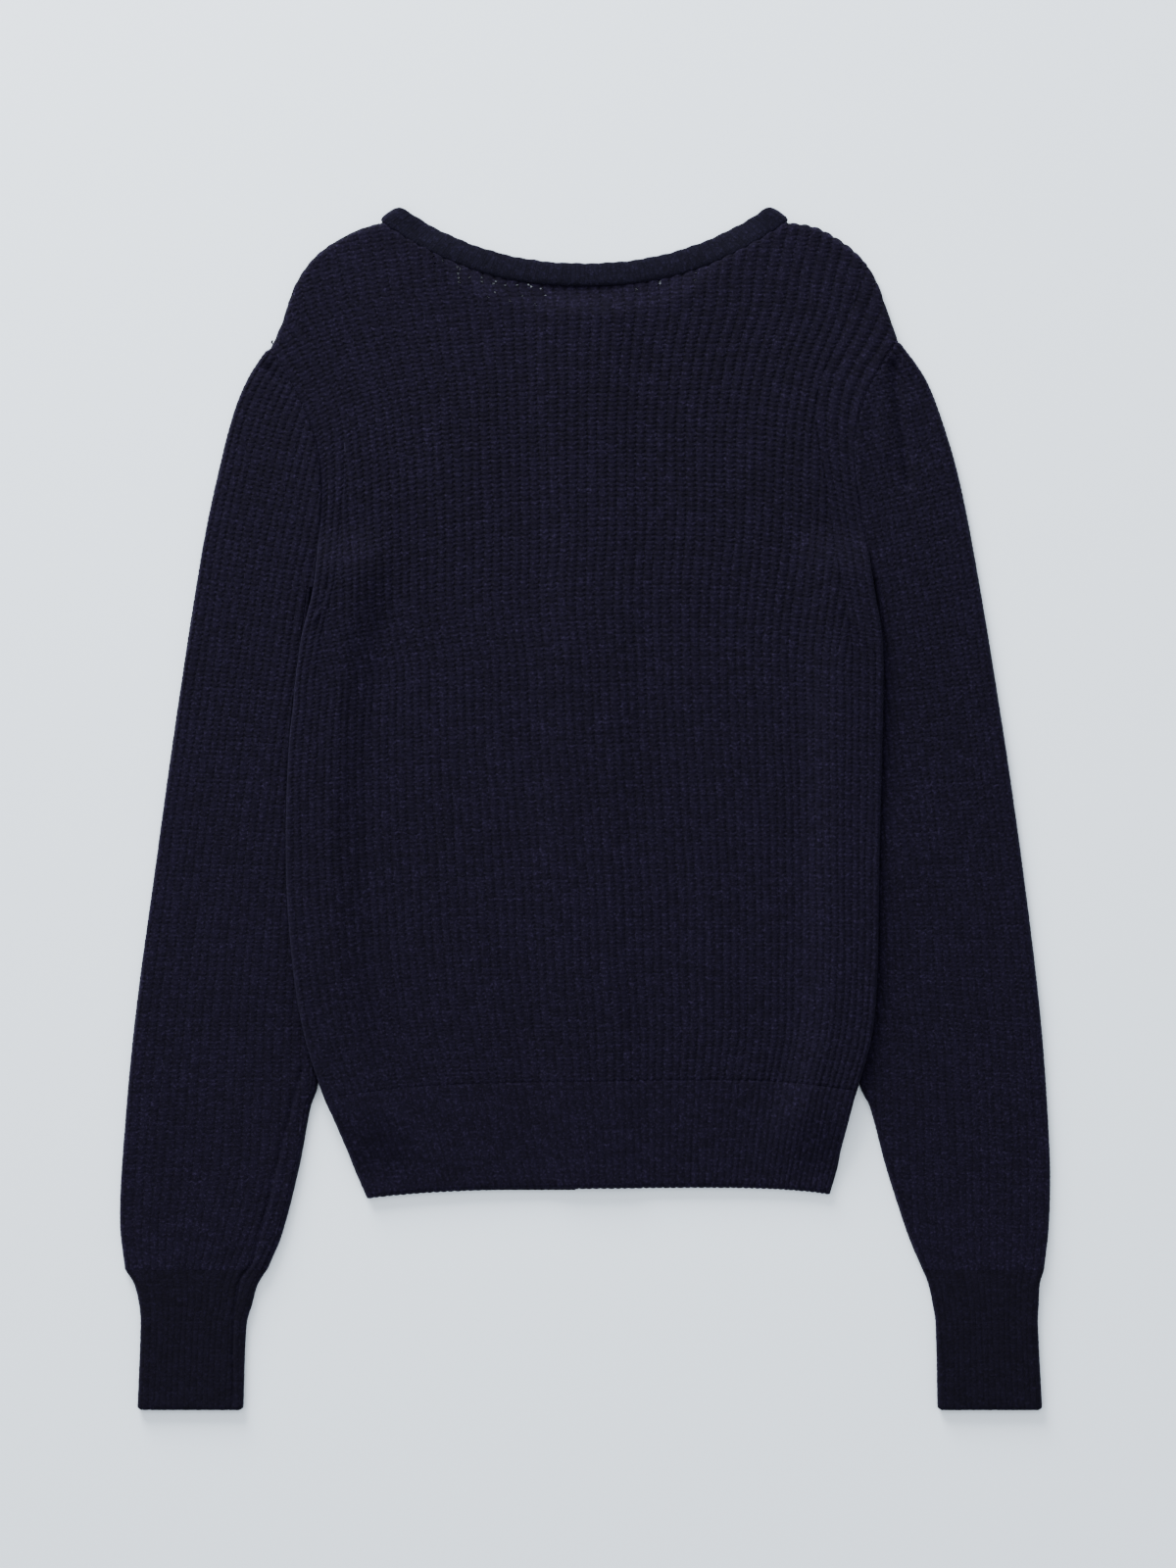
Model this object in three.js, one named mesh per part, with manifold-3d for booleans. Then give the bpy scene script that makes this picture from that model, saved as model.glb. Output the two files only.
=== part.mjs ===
// A rib-knit wool cardigan, buttoned and laid face down on a flat surface with its back up.
// Millimetres. +X is the wearer's right, +Y runs from hem to neck and +Z is up off the surface.
// The origin is on the surface, under the middle of the laid garment.
// The fronts and the lower half of each sleeve lie on the surface, and the back and the upper
// half of each sleeve lie on them. Each side of the body also lies on a strip of its sleeve.
import * as THREE from "three";
import { mergeVertices } from "three/addons/utils/BufferGeometryUtils.js";
import Module from "manifold-3d";

// Cloth
const WALL = 3.0; // from a rib's crest to the plain side
const RIB_DEPTH = 0.8; // from a crest down into the groove beside it
const SEAM_GAP = 0.4; // between pieces sewn edge to edge
const LAYER_GAP = 0.3; // between layers that lie on each other
const LAID = 2 * WALL + LAYER_GAP; // height of a tube pressed flat

// Body
const BODY_RIBS = 64; // across the back, from side to side
const SIDE_RIBS = 10; // ribs of each side under which the plain side has a column of its own
const SHOULDER_SHARE = 0.22; // part of the ribs that ends in each shoulder
const HEAD_FADE = 3; // how late up the body the shoulders bend its courses
const HEM_SEAM_ARCH = 8; // rise of the hem's seam in the middle
const HEM_EDGE_ARCH = 5; // rise of the hem's lower edge in the middle

// Side edges of the body from the hem's lower edge to the shoulder tips.
const BODY_SIDES = [
  { y: -240, left: -132, right: 149 },
  { y: -219, left: -141, right: 155 },
  { y: -195, left: -150, right: 159 },
  { y: -177, left: -158.5, right: 165 },
  { y: -140, left: -170.5, right: 175.5 },
  { y: -100, left: -177.5, right: 179 },
  { y: -40, left: -182, right: 180 },
  { y: 35, left: -180.5, right: 182 },
  { y: 100, left: -173.5, right: 182.5 },
  { y: 135, left: -165.5, right: 177 },
  { y: 170, left: -162.5, right: 172 },
  { y: 200, left: -162, right: 168 },
  { y: 230, left: -167, right: 167.5 },
  { y: 255, left: -178.5, right: 174.5 },
  { y: 285, left: -195.5, right: 192 },
];
// Heights of the corners on the two sides.
const HEM_FOOT = { left: -238.5, right: -236 };
const HEM_SEAM = { left: -177, right: -173 };
const UNDERARM_ROW = 4; // place of the underarms among the rows of the back
const SHOULDER_TIP = { left: 279, right: 285 };

// The shoulder line of each side from the tip to the neck.
const SHOULDERS = {
  left: [
    { x: -183.3, y: 300 },
    { x: -176, y: 320.5 },
    { x: -162.5, y: 338.5 },
    { x: -141.5, y: 351.8 },
  ],
  right: [
    { x: 186.5, y: 300 },
    { x: 179, y: 321 },
    { x: 166.5, y: 339 },
    { x: 144, y: 354 },
  ],
};

// Neck. low is a line's height at the middle and high its height at the shoulder.
const NECK_MIDDLE = 0.2;
const BACK_NECK = { half: 123.8, low: 319.9, high: 357.8, bend: 2.3 };
const BAND_BACK_EDGE = { half: 111.4, low: 333, high: 366.5, bend: 2.2 };
const BAND_BACK_SEAM = { half: 123, low: 320.3, high: 358.4, bend: 2.3 };
const BAND_FRONT_EDGE = { half: 111.4, low: 298.5, high: 366.5, bend: 3 };
const BAND_FRONT_SEAM = { half: 123, low: 285.4, high: 358.4, bend: 3 };
const NECKBAND_WALL = 3.2;
const NECKBAND_STEPS = 20; // sections across the back, and half as many down each front
const NECKBAND_FOLD_STEPS = 4; // sections round each fold at the shoulder

// The strip of each sleeve under the body, and how the body comes down beside it.
const TUCK = 25; // widest part of a sleeve that lies under the body
const TUCK_RAMP = 27; // width over which the body comes down to the surface
const TUCK_RISE = { from: -228, to: -180 }; // heights between which the strip starts
const TUCK_FALL = { from: 141, to: 175 }; // heights between which it ends

// Sleeves and cuffs. outer is the edge away from the body.
const SLEEVE_RIBS = 20;
const SLEEVE_FOOT = -282;
const SLEEVE_OUTER = [
  { y: -282, left: -280.5, right: 281 },
  { y: -255, left: -283.5, right: 284 },
  { y: -213, left: -282, right: 284.5 },
  { y: -130, left: -274.5, right: 279 },
  { y: -33, left: -261.5, right: 267.5 },
  { y: 63, left: -248, right: 253.5 },
  { y: 159, left: -233, right: 237.5 },
  { y: 207, left: -223, right: 227.5 },
  { y: 243, left: -213.5, right: 216.5 },
  { y: 264, left: -204.5, right: 207.5 },
  { y: 285, left: -190.5, right: 192.5 },
];
const SLEEVE_INNER = [
  { y: -282, left: -193.8, right: 207 },
  { y: -261, left: -185, right: 198.2 },
  { y: -219, left: -174.2, right: 184.6 },
  { y: -183, left: -167.4, right: 175 },
  { y: -171, left: -163.4, right: 169.2 },
  { y: -140, left: -160, right: 163.5 },
  { y: -100, left: -157.5, right: 158.5 },
  { y: 0, left: -158, right: 158.5 },
  { y: 60, left: -164.5, right: 168 },
  { y: 100, left: -170, right: 178 },
  { y: 120, left: -168.5, right: 179.3 },
  { y: 140, left: -165.5, right: 177 },
];
const CUFF_RIBS = 15;
const CUFF_FOOT = -368;
const CUFF_OUTER = [
  { y: -368, left: -273, right: 280 },
  { y: -315, left: -271, right: 277.3 },
  { y: -303, left: -272, right: 277.8 },
  { y: -291, left: -275, right: 278.5 },
  { y: -282, left: -280.5, right: 281 },
];
const CUFF_INNER = [
  { y: -368, left: -208.5, right: 216.2 },
  { y: -315, left: -206.4, right: 215 },
  { y: -303, left: -203, right: 213.2 },
  { y: -291, left: -199.6, right: 210.6 },
  { y: -282, left: -193.8, right: 207 },
];
const TUBE_PLAIN_COLUMNS = 8; // columns of a tube's plain faces

// Front bands, which lie over each other, and their buttons
const BAND_HALF_WIDTH = 13;
const BUTTONHOLE_BAND_WALL = 2.4;
const BUTTON_BAND_WALL = 2.0;
const BAND_FOOT = -232;
const BAND_RAMP = 22; // width over which the back comes down beside the bands
const BUTTON_COUNT = 7;
const BUTTON_RADIUS = 7;
const BUTTON_THICKNESS = 1.4;
const BUTTON_LOWEST = -222;
const BUTTON_HIGHEST = 289;
const DISC_SIDES = 20;

// Rows of points up each piece: heights at the left side, or shares of the length.
const BACK_ROWS = [-177, -100, -30, 60, 134, 160, 185, 208, 230, 250, 266, 279];
const HEM_ROWS = [0, 0.45, 1];
const SLEEVE_ROWS = [0, 0.05, 0.13, 0.25, 0.38, 0.5, 0.62, 0.72, 0.81, 0.88, 0.94, 1];
const CUFF_ROWS = [0, 0.62, 0.76, 0.9, 1];
const BAND_ROWS = [BAND_FOOT, -195, -150, -100, -40, 60, 180, BAND_FRONT_EDGE.low];

// Colours
const BODY_NAVY = 0x161523;
const BAND_NAVY = 0x1c1d2a;
const BUTTON_NAVY = 0x14141c;

const { clamp, lerp, smoothstep } = THREE.MathUtils;
const evenly = (count) => Array.from({ length: count + 1 }, (_, i) => i / count);

const wasm = await Module();
wasm.setup();

// ---- Curves ----

// One column of a table as a smooth function of y.
function column(table, name) {
  const slope = table.map((_, i) => {
    const a = table[Math.max(i - 1, 0)];
    const b = table[Math.min(i + 1, table.length - 1)];
    return (b[name] - a[name]) / (b.y - a.y);
  });
  return (y) => {
    let i = 0;
    while (i < table.length - 2 && y > table[i + 1].y) i++;
    const a = table[i];
    const b = table[i + 1];
    const step = b.y - a.y;
    const t = clamp((y - a.y) / step, 0, 1);
    const s = 1 - t;
    const start = s * s * ((1 + 2 * t) * a[name] + t * step * slope[i]);
    const end = t * t * ((1 + 2 * s) * b[name] - s * step * slope[i + 1]);
    return start + end;
  };
}

const bodySide = {
  left: column(BODY_SIDES, "left"),
  right: column(BODY_SIDES, "right"),
};
const bodyMiddle = (y) => (bodySide.left(y) + bodySide.right(y)) / 2;

// A point of a neck line, with t from -1 at the left shoulder to 1 at the right one.
function neckPoint(line, t) {
  const rise = Math.abs(t) ** line.bend;
  return new THREE.Vector2(NECK_MIDDLE + line.half * t, lerp(line.low, line.high, rise));
}

// A shoulder line as a curve, from the tip to the neck.
function shoulderCurve(side) {
  const tip = new THREE.Vector2(bodySide[side](SHOULDER_TIP[side]), SHOULDER_TIP[side]);
  const bends = SHOULDERS[side].map((row) => new THREE.Vector2(row.x, row.y));
  const neck = neckPoint(BACK_NECK, side === "left" ? -1 : 1);
  return new THREE.SplineCurve([tip, ...bends, neck]);
}
const shoulder = { left: shoulderCurve("left"), right: shoulderCurve("right") };

// The line along the top of the body: shoulder, neck and shoulder.
function bodyHead(u) {
  if (u < SHOULDER_SHARE) return shoulder.left.getPointAt(u / SHOULDER_SHARE);
  if (u > 1 - SHOULDER_SHARE) return shoulder.right.getPointAt((1 - u) / SHOULDER_SHARE);
  return neckPoint(BACK_NECK, lerp(-1, 1, (u - SHOULDER_SHARE) / (1 - 2 * SHOULDER_SHARE)));
}

// ---- Patches: four-sided pieces of cloth seen from above ----

// How far a line bows away from the straight line between its ends.
function bow(line, u) {
  const straight = line(0).clone().lerp(line(1), u);
  return line(u).clone().sub(straight);
}

// A patch as a function of u, across the ribs, and v, along them.
function patch({ left, right, foot, head, fade }) {
  return (u, v) => {
    const point = left(v).clone().lerp(right(v), u);
    point.addScaledVector(bow(foot, u), 1 - v);
    return point.addScaledVector(bow(head, u), v ** fade);
  };
}

// A body side as a line from one height to another.
function sideLine(side, low, high) {
  return (v) => {
    const y = lerp(low[side], high[side], v);
    return new THREE.Vector2(bodySide[side](y), y);
  };
}

// A line across the body from side to side, higher in the middle.
function archedLine(heights, arch, drop = 0) {
  const ends = ["left", "right"].map(
    (side) => new THREE.Vector2(bodySide[side](heights[side]), heights[side] - drop),
  );
  return (u) => {
    const point = ends[0].clone().lerp(ends[1], u);
    point.y += arch * (1 - (2 * u - 1) ** 4);
    return point;
  };
}

const bodyPatch = patch({
  left: sideLine("left", HEM_SEAM, SHOULDER_TIP),
  right: sideLine("right", HEM_SEAM, SHOULDER_TIP),
  foot: archedLine(HEM_SEAM, HEM_SEAM_ARCH),
  head: bodyHead,
  fade: HEAD_FADE,
});

const hemSeam = archedLine(HEM_SEAM, HEM_SEAM_ARCH, SEAM_GAP);
const hemEdge = archedLine(HEM_FOOT, HEM_EDGE_ARCH);
const hemPatch = (u, v) => hemEdge(u).lerp(hemSeam(u), v);

// ---- Heights above the surface ----

// How far the side strips of the body are raised by the sleeves under them.
function sideLift(point) {
  const up = smoothstep(point.y, TUCK_RISE.from, TUCK_RISE.to);
  const down = 1 - smoothstep(point.y, TUCK_FALL.from, TUCK_FALL.to);
  const left = point.x - bodySide.left(point.y);
  const right = bodySide.right(point.y) - point.x;
  const near = 1 - smoothstep(Math.min(left, right), TUCK, TUCK + TUCK_RAMP);
  return (LAID + LAYER_GAP) * up * down * near;
}

// How far the back is raised by the two front bands under it.
function bandLift(point) {
  const bands = BUTTONHOLE_BAND_WALL + BUTTON_BAND_WALL + LAYER_GAP;
  const off = Math.abs(point.x - bodyMiddle(point.y)) - BAND_HALF_WIDTH;
  return (bands - WALL) * (1 - smoothstep(off, 1, BAND_RAMP));
}

const frontTop = (point) => WALL + sideLift(point);
const backBottom = (point) => frontTop(point) + LAYER_GAP + bandLift(point);

// ---- Closed skins ----

const at = (point, z) => new THREE.Vector3(point.x, point.y, z);

// Points and faces that are gathered into one closed geometry.
class Skin {
  points = [];
  faces = [];

  // Adds a line of points, each with its place along the line, and returns it for strip().
  line(points, places = evenly(points.length - 1)) {
    const first = this.points.length;
    this.points.push(...points);
    return points.map((_, i) => ({ index: first + i, place: places[i] }));
  }

  // Fills between two lines that run the same way, with as many points as each has.
  strip(a, b, flipped = false) {
    let i = 0;
    let j = 0;
    while (i < a.length - 1 || j < b.length - 1) {
      const nextA = i < a.length - 1 ? a[i + 1].place : Infinity;
      const nextB = j < b.length - 1 ? b[j + 1].place : Infinity;
      const onA = nextA <= nextB;
      const face = [a[i].index, onA ? a[i + 1].index : b[j + 1].index, b[j].index];
      this.faces.push(flipped ? face.reverse() : face);
      if (onA) i++;
      else j++;
    }
  }

  // Fills a flat end.
  cap(ring) {
    for (let i = 1; i < ring.length - 2; i++) {
      this.faces.push([ring[0].index, ring[i + 1].index, ring[i].index]);
    }
  }

  // Six times the volume that the faces enclose, below zero where they face inwards.
  sixfoldVolume() {
    const corner = (i) => this.points[i];
    return this.faces.reduce((sum, [a, b, c]) => {
      return sum + corner(a).dot(corner(b).clone().cross(corner(c)));
    }, 0);
  }

  geometry() {
    const out = this.sixfoldVolume() > 0;
    const faces = out ? this.faces : this.faces.map(([a, b, c]) => [a, c, b]);
    const geometry = new THREE.BufferGeometry().setFromPoints(this.points);
    geometry.setIndex(faces.flat());
    return geometry;
  }
}

// Joins each row of a grid to the next.
function sheet(skin, rows, flipped = false) {
  for (let r = 0; r < rows.length - 1; r++) skin.strip(rows[r], rows[r + 1], flipped);
}

// A closed wall between an upper and a lower grid of lines.
function wall(skin, upper, lower) {
  const last = upper.length - 1;
  sheet(skin, upper);
  sheet(skin, lower, true);
  skin.strip(lower[0], upper[0]);
  skin.strip(upper[last], lower[last]);
}

// A closed panel: a wall whose two side edges are closed as well.
function panel(upperRows, lowerRows, upperPlaces, lowerPlaces) {
  const skin = new Skin();
  const upper = upperRows.map((row) => skin.line(row, upperPlaces));
  const lower = lowerRows.map((row) => skin.line(row, lowerPlaces));
  wall(skin, upper, lower);
  const edge = (rows, i) => rows.map((row, r) => ({ index: row.at(i).index, place: r }));
  skin.strip(edge(upper, 0), edge(lower, 0));
  skin.strip(edge(lower, -1), edge(upper, -1));
  return skin.geometry();
}

// A line that comes back to its first point.
function ring(skin, points, places) {
  const line = skin.line(points, places);
  return [...line, { index: line[0].index, place: 1 }];
}

// A closed solid through sections of the same number of points.
function loft(sections) {
  const skin = new Skin();
  const places = evenly(sections[0].length).slice(0, -1);
  const rings = sections.map((points) => ring(skin, points, places));
  sheet(skin, rings);
  skin.cap(rings[0]);
  skin.cap([...rings.at(-1)].reverse());
  return skin.geometry();
}

// ---- Joins and cuts ----

function solidOf(geometry) {
  const bare = new THREE.BufferGeometry();
  bare.setAttribute("position", geometry.getAttribute("position"));
  if (geometry.index) bare.setIndex(geometry.index);
  const merged = mergeVertices(bare, 1e-4);
  return new wasm.Manifold(
    new wasm.Mesh({
      numProp: 3,
      vertProperties: merged.getAttribute("position").array,
      triVerts: new Uint32Array(merged.index.array),
    }),
  );
}

function geometryOf(solid) {
  const { vertProperties, triVerts } = solid.getMesh();
  const geometry = new THREE.BufferGeometry();
  geometry.setAttribute("position", new THREE.BufferAttribute(vertProperties, 3));
  geometry.setIndex(new THREE.BufferAttribute(triVerts, 1));
  return geometry;
}

// The two largest bodies of a solid, from left to right.
function leftAndRight(solid) {
  const bodies = solid.decompose().sort((a, b) => b.volume() - a.volume());
  const [a, b] = bodies.slice(0, 2).map((body) => ({ body, x: body.boundingBox().min[0] }));
  const [left, right] = a.x < b.x ? [a.body, b.body] : [b.body, a.body];
  return { left: geometryOf(left), right: geometryOf(right) };
}

// A flat outline drawn out upwards through the whole garment.
function cutter(outline) {
  const depth = 60;
  const geometry = new THREE.ExtrudeGeometry(new THREE.Shape(outline), {
    depth,
    bevelEnabled: false,
  });
  return solidOf(geometry.translate(0, 0, -depth / 2));
}

// ---- Body pieces ----

// Places of rib crests and grooves, and whether each is a groove.
const ribPlaces = (ribs) => evenly(2 * ribs);
const isGroove = (i) => i % 2 === 0;

// Places of the plain side's columns: one under each rib near the sides, and one in two between.
const plainPlaces = Array.from({ length: BODY_RIBS + 1 }, (_, i) => i)
  .filter((i) => Math.min(i, BODY_RIBS - i) < SIDE_RIBS || i % 2 === 0)
  .map((i) => i / BODY_RIBS);

// The ribbed upper face of a piece of the back.
function ribbedRow(shape, v) {
  return ribPlaces(BODY_RIBS).map((u, i) => {
    const point = shape(u, v);
    return at(point, backBottom(point) + WALL - (isGroove(i) ? RIB_DEPTH : 0));
  });
}

// A row of plain points at a height.
function plainRow(shape, v, height) {
  return plainPlaces.map((u) => {
    const point = shape(u, v);
    return at(point, height(point));
  });
}

function backPiece(shape, rows) {
  const upper = rows.map((v) => ribbedRow(shape, v));
  const lower = rows.map((v) => plainRow(shape, v, backBottom));
  return panel(upper, lower, ribPlaces(BODY_RIBS), plainPlaces);
}

// The fronts in one, before the neck and the bands are cut out of them.
function frontPieces(shape, rows) {
  const upper = rows.map((v) => plainRow(shape, v, frontTop));
  const lower = rows.map((v) => plainRow(shape, v, (point) => frontTop(point) - WALL));
  return solidOf(panel(upper, lower, plainPlaces, plainPlaces));
}

// ---- Flattened tubes: sleeves and cuffs ----

// Sections round a flattened tube's outside and inside, from its edges in plan.
function tubeSection(shape, v, ribs) {
  const start = shape(0, v);
  const width = start.distanceTo(shape(1, v));
  const across = (distance, z) => at(shape(distance / width, v), z);
  const inset = (place, margin) => lerp(margin, width - margin, place);
  const upper = ribPlaces(ribs).map((u, i) => {
    return across(inset(u, WALL), LAID - (isGroove(i) ? RIB_DEPTH : 0));
  });
  const plain = evenly(TUBE_PLAIN_COLUMNS);
  const back = [...plain].reverse();
  const bulge = WALL / 3;
  const turn = (place, margins) =>
    margins.map(([margin, z]) => across(inset(place, margin), z));
  const far = turn(1, [[bulge, LAID - bulge], [0, LAID / 2], [bulge, bulge]]);
  const near = turn(0, [[bulge, bulge], [0, LAID / 2], [bulge, LAID - bulge]]);
  return {
    outside: [...upper, ...far, ...back.map((u) => across(inset(u, WALL), 0)), ...near],
    inside: [
      ...plain.map((u) => across(inset(u, WALL), WALL + LAYER_GAP)),
      ...back.map((u) => across(inset(u, WALL), WALL)),
    ],
  };
}

// Places round a section of two faces, so that the ends of a tube's wall are filled evenly.
function sectionPlaces(upper, turn, lower) {
  const face = (count, start) => evenly(count - 1).map((t) => start + 0.4 * t);
  const bend = (count, start) => evenly(count + 1).slice(1, -1).map((t) => start + 0.1 * t);
  return [...face(upper, 0), ...bend(turn, 0.4), ...face(lower, 0.5), ...bend(turn, 0.9)];
}

function flatTube(shape, rows, ribs) {
  const skin = new Skin();
  const sections = rows.map((v) => tubeSection(shape, v, ribs));
  const columns = TUBE_PLAIN_COLUMNS + 1;
  const outsidePlaces = sectionPlaces(2 * ribs + 1, 3, columns);
  const insidePlaces = sectionPlaces(columns, 0, columns);
  const outside = sections.map((s) => ring(skin, s.outside, outsidePlaces));
  const inside = sections.map((s) => ring(skin, s.inside, insidePlaces));
  wall(skin, outside, inside);
  return skin.geometry();
}

// The body's own straight-sided edge beside a sleeve, so that both pieces follow the same line.
function armhole(side) {
  const heights = BACK_ROWS.map((y) => (y - BACK_ROWS[0]) / (BACK_ROWS.at(-1) - BACK_ROWS[0]));
  const edge = (v) => bodyPatch(side === "left" ? 0 : 1, v);
  const outward = side === "left" ? -1 : 1;
  const foot = heights[UNDERARM_ROW];
  return (u) => {
    const v = lerp(1, foot, u);
    let i = 0;
    while (i < heights.length - 2 && v > heights[i + 1]) i++;
    const share = (v - heights[i]) / (heights[i + 1] - heights[i]);
    const point = edge(heights[i]).lerp(edge(heights[i + 1]), share);
    point.x += outward * 1.3 * SEAM_GAP;
    return point;
  };
}

function sleeve(side) {
  const outerX = column(SLEEVE_OUTER, side);
  const innerX = column(SLEEVE_INNER, side);
  const seam = armhole(side);
  const tip = seam(0);
  const underarm = seam(1);
  // An edge from the cuff up to one end of the armhole, which it meets exactly.
  const edge = (xAt, end) => (v) => {
    const y = lerp(SLEEVE_FOOT, end.y, v);
    const miss = end.x - xAt(end.y);
    return new THREE.Vector2(xAt(y) + miss * v ** 8, y);
  };
  const outer = edge(outerX, tip);
  const inner = edge(innerX, underarm);
  const foot = (u) => outer(0).lerp(inner(0), u);
  const shape = patch({ left: outer, right: inner, foot, head: seam, fade: HEAD_FADE });
  return flatTube(shape, SLEEVE_ROWS, SLEEVE_RIBS);
}

function cuff(side) {
  const outerX = column(CUFF_OUTER, side);
  const innerX = column(CUFF_INNER, side);
  const shape = (u, v) => {
    const y = lerp(CUFF_FOOT, SLEEVE_FOOT - SEAM_GAP, v);
    return new THREE.Vector2(lerp(outerX(y), innerX(y), u), y);
  };
  return flatTube(shape, CUFF_ROWS, CUFF_RIBS);
}

// ---- Neckband: one strip along the back neck that folds over at the shoulders ----

// A section across the band from its seam to its free edge, which is rounded.
function neckbandSection(seam, edge, thickness) {
  const inner = (t) => seam.clone().lerp(edge, t);
  return [
    inner(0),
    inner(0).add(thickness),
    inner(0.5).addScaledVector(thickness, 1.08),
    inner(0.93).add(thickness),
    inner(1).addScaledVector(thickness, 0.5),
    inner(0.93),
  ];
}

// The part of the band along the back neck.
function neckbandBack(t) {
  const seam = neckPoint(BAND_BACK_SEAM, t);
  const edge = neckPoint(BAND_BACK_EDGE, t);
  const up = new THREE.Vector3(0, 0, NECKBAND_WALL);
  return neckbandSection(at(seam, backBottom(seam)), at(edge, backBottom(edge)), up);
}

// The part of the band along a front, outside down.
function neckbandFront(t) {
  const seam = neckPoint(BAND_FRONT_SEAM, t);
  const edge = neckPoint(BAND_FRONT_EDGE, t);
  const down = new THREE.Vector3(0, 0, -WALL);
  const section = neckbandSection(at(seam, WALL), at(edge, WALL), down);
  section.forEach((point) => (point.z = Math.max(point.z, 0)));
  return section;
}

// The fold at a shoulder, with turn from 0 on the back to 1 on the front.
function neckbandFold(end, turn) {
  const seam = neckPoint(BAND_BACK_SEAM, end);
  const edge = neckPoint(BAND_BACK_EDGE, end);
  const out = new THREE.Vector2(edge.y - seam.y, seam.x - edge.x).normalize();
  if (out.x * end < 0) out.negate();
  const angle = Math.PI * turn;
  const z = WALL + LAYER_GAP * (0.5 + 0.5 * Math.cos(angle));
  const wallHere = lerp(NECKBAND_WALL, WALL, turn);
  const thickness = new THREE.Vector3(
    out.x * Math.sin(angle),
    out.y * Math.sin(angle),
    Math.cos(angle),
  ).multiplyScalar(wallHere);
  const section = neckbandSection(at(seam, z), at(edge, z), thickness);
  section.forEach((point) => (point.z = Math.max(point.z, 0)));
  return section;
}

function neckband() {
  const lean = Math.abs(bodyMiddle(BAND_FRONT_EDGE.low) - NECK_MIDDLE);
  const frontEnd = (BAND_HALF_WIDTH + SEAM_GAP + lean) / BAND_FRONT_EDGE.half;
  const down = evenly(NECKBAND_STEPS / 2);
  const folds = evenly(NECKBAND_FOLD_STEPS).slice(1, -1);
  const leftFront = down.map((t) => neckbandFront(-lerp(frontEnd, 0.995, t)));
  const leftFold = [...folds].reverse().map((turn) => neckbandFold(-1, turn));
  const back = evenly(NECKBAND_STEPS).map((t) => neckbandBack(lerp(-0.995, 0.995, t)));
  const rightFold = folds.map((turn) => neckbandFold(1, turn));
  const rightFront = [...down].reverse().map((t) => neckbandFront(lerp(frontEnd, 0.995, t)));
  return loft([...leftFront, ...leftFold, ...back, ...rightFold, ...rightFront]);
}

// The neck opening of the fronts, up past the shoulders.
function neckOpening() {
  const line = {
    ...BAND_FRONT_SEAM,
    half: BAND_FRONT_SEAM.half + SEAM_GAP,
    low: BAND_FRONT_SEAM.low - SEAM_GAP,
    high: BAND_FRONT_SEAM.high - SEAM_GAP,
  };
  const edge = evenly(2 * NECKBAND_STEPS).map((t) => neckPoint(line, lerp(-1, 1, t)));
  const above = BAND_FRONT_EDGE.high + WALL;
  const left = new THREE.Vector2(edge[0].x, above);
  const right = new THREE.Vector2(edge.at(-1).x, above);
  return cutter([...edge, right, left]);
}

// ---- Front bands and buttons ----

// Both edges of the bands, widened by a margin, from the hem to the neck.
function bandOutline(margin) {
  const half = BAND_HALF_WIDTH + margin;
  const rows = BAND_ROWS.map((y) => ({ x: bodyMiddle(y), y }));
  const left = rows.map(({ x, y }) => new THREE.Vector2(x - half, y));
  const right = rows.map(({ x, y }) => new THREE.Vector2(x + half, y));
  return { left, right };
}

// The room that the bands take out of the fronts, with its ends past the hem and the neck.
function bandRoom() {
  const { left, right } = bandOutline(SEAM_GAP);
  const beyond = 40;
  for (const edge of [left, right]) {
    edge.unshift(new THREE.Vector2(edge[0].x, edge[0].y - beyond));
    edge.push(new THREE.Vector2(edge.at(-1).x, edge.at(-1).y + beyond));
  }
  return cutter([...left, ...right.reverse()]);
}

function bandStrip(bottom, thickness) {
  const { left, right } = bandOutline(0);
  const sections = left.map((point, i) => [
    at(point, bottom),
    at(right[i], bottom),
    at(right[i], bottom + thickness),
    at(point, bottom + thickness),
  ]);
  return loft(sections);
}

const buttonHeights = evenly(BUTTON_COUNT - 1).map((t) => lerp(BUTTON_LOWEST, BUTTON_HIGHEST, t));

// A round, flat solid that stands on the surface.
function disc(radius, height) {
  const geometry = new THREE.CylinderGeometry(radius, radius, height, DISC_SIDES);
  return geometry.rotateX(Math.PI / 2).translate(0, 0, height / 2);
}

// The lower band, with a hollow pressed into it by each button.
function buttonholeBand() {
  const depth = BUTTON_THICKNESS + LAYER_GAP;
  const below = 1;
  let band = solidOf(bandStrip(0, BUTTONHOLE_BAND_WALL));
  for (const y of buttonHeights) {
    const hollow = disc(BUTTON_RADIUS + SEAM_GAP, depth + below);
    band = band.subtract(solidOf(hollow.translate(bodyMiddle(y), y, -below)));
  }
  return geometryOf(band);
}

// ---- The garment ----

const cardigan = new THREE.Group();

function add(name, geometry, color, roughness = 0.95) {
  const material = new THREE.MeshStandardMaterial({ color, roughness, metalness: 0 });
  const mesh = new THREE.Mesh(geometry, material);
  mesh.name = name;
  cardigan.add(mesh);
  return mesh;
}

const bodyRows = BACK_ROWS.map((y) => (y - BACK_ROWS[0]) / (BACK_ROWS.at(-1) - BACK_ROWS[0]));
add("back", backPiece(bodyPatch, bodyRows), BODY_NAVY);
add("hem_back", backPiece(hemPatch, HEM_ROWS), BODY_NAVY);

const room = bandRoom();
const fronts = frontPieces(bodyPatch, bodyRows).subtract(neckOpening()).subtract(room);
const hems = frontPieces(hemPatch, HEM_ROWS).subtract(room);
for (const [side, geometry] of Object.entries(leftAndRight(fronts))) {
  add(`front_${side}`, geometry, BODY_NAVY);
}
for (const [side, geometry] of Object.entries(leftAndRight(hems))) {
  add(`hem_front_${side}`, geometry, BODY_NAVY);
}

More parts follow.
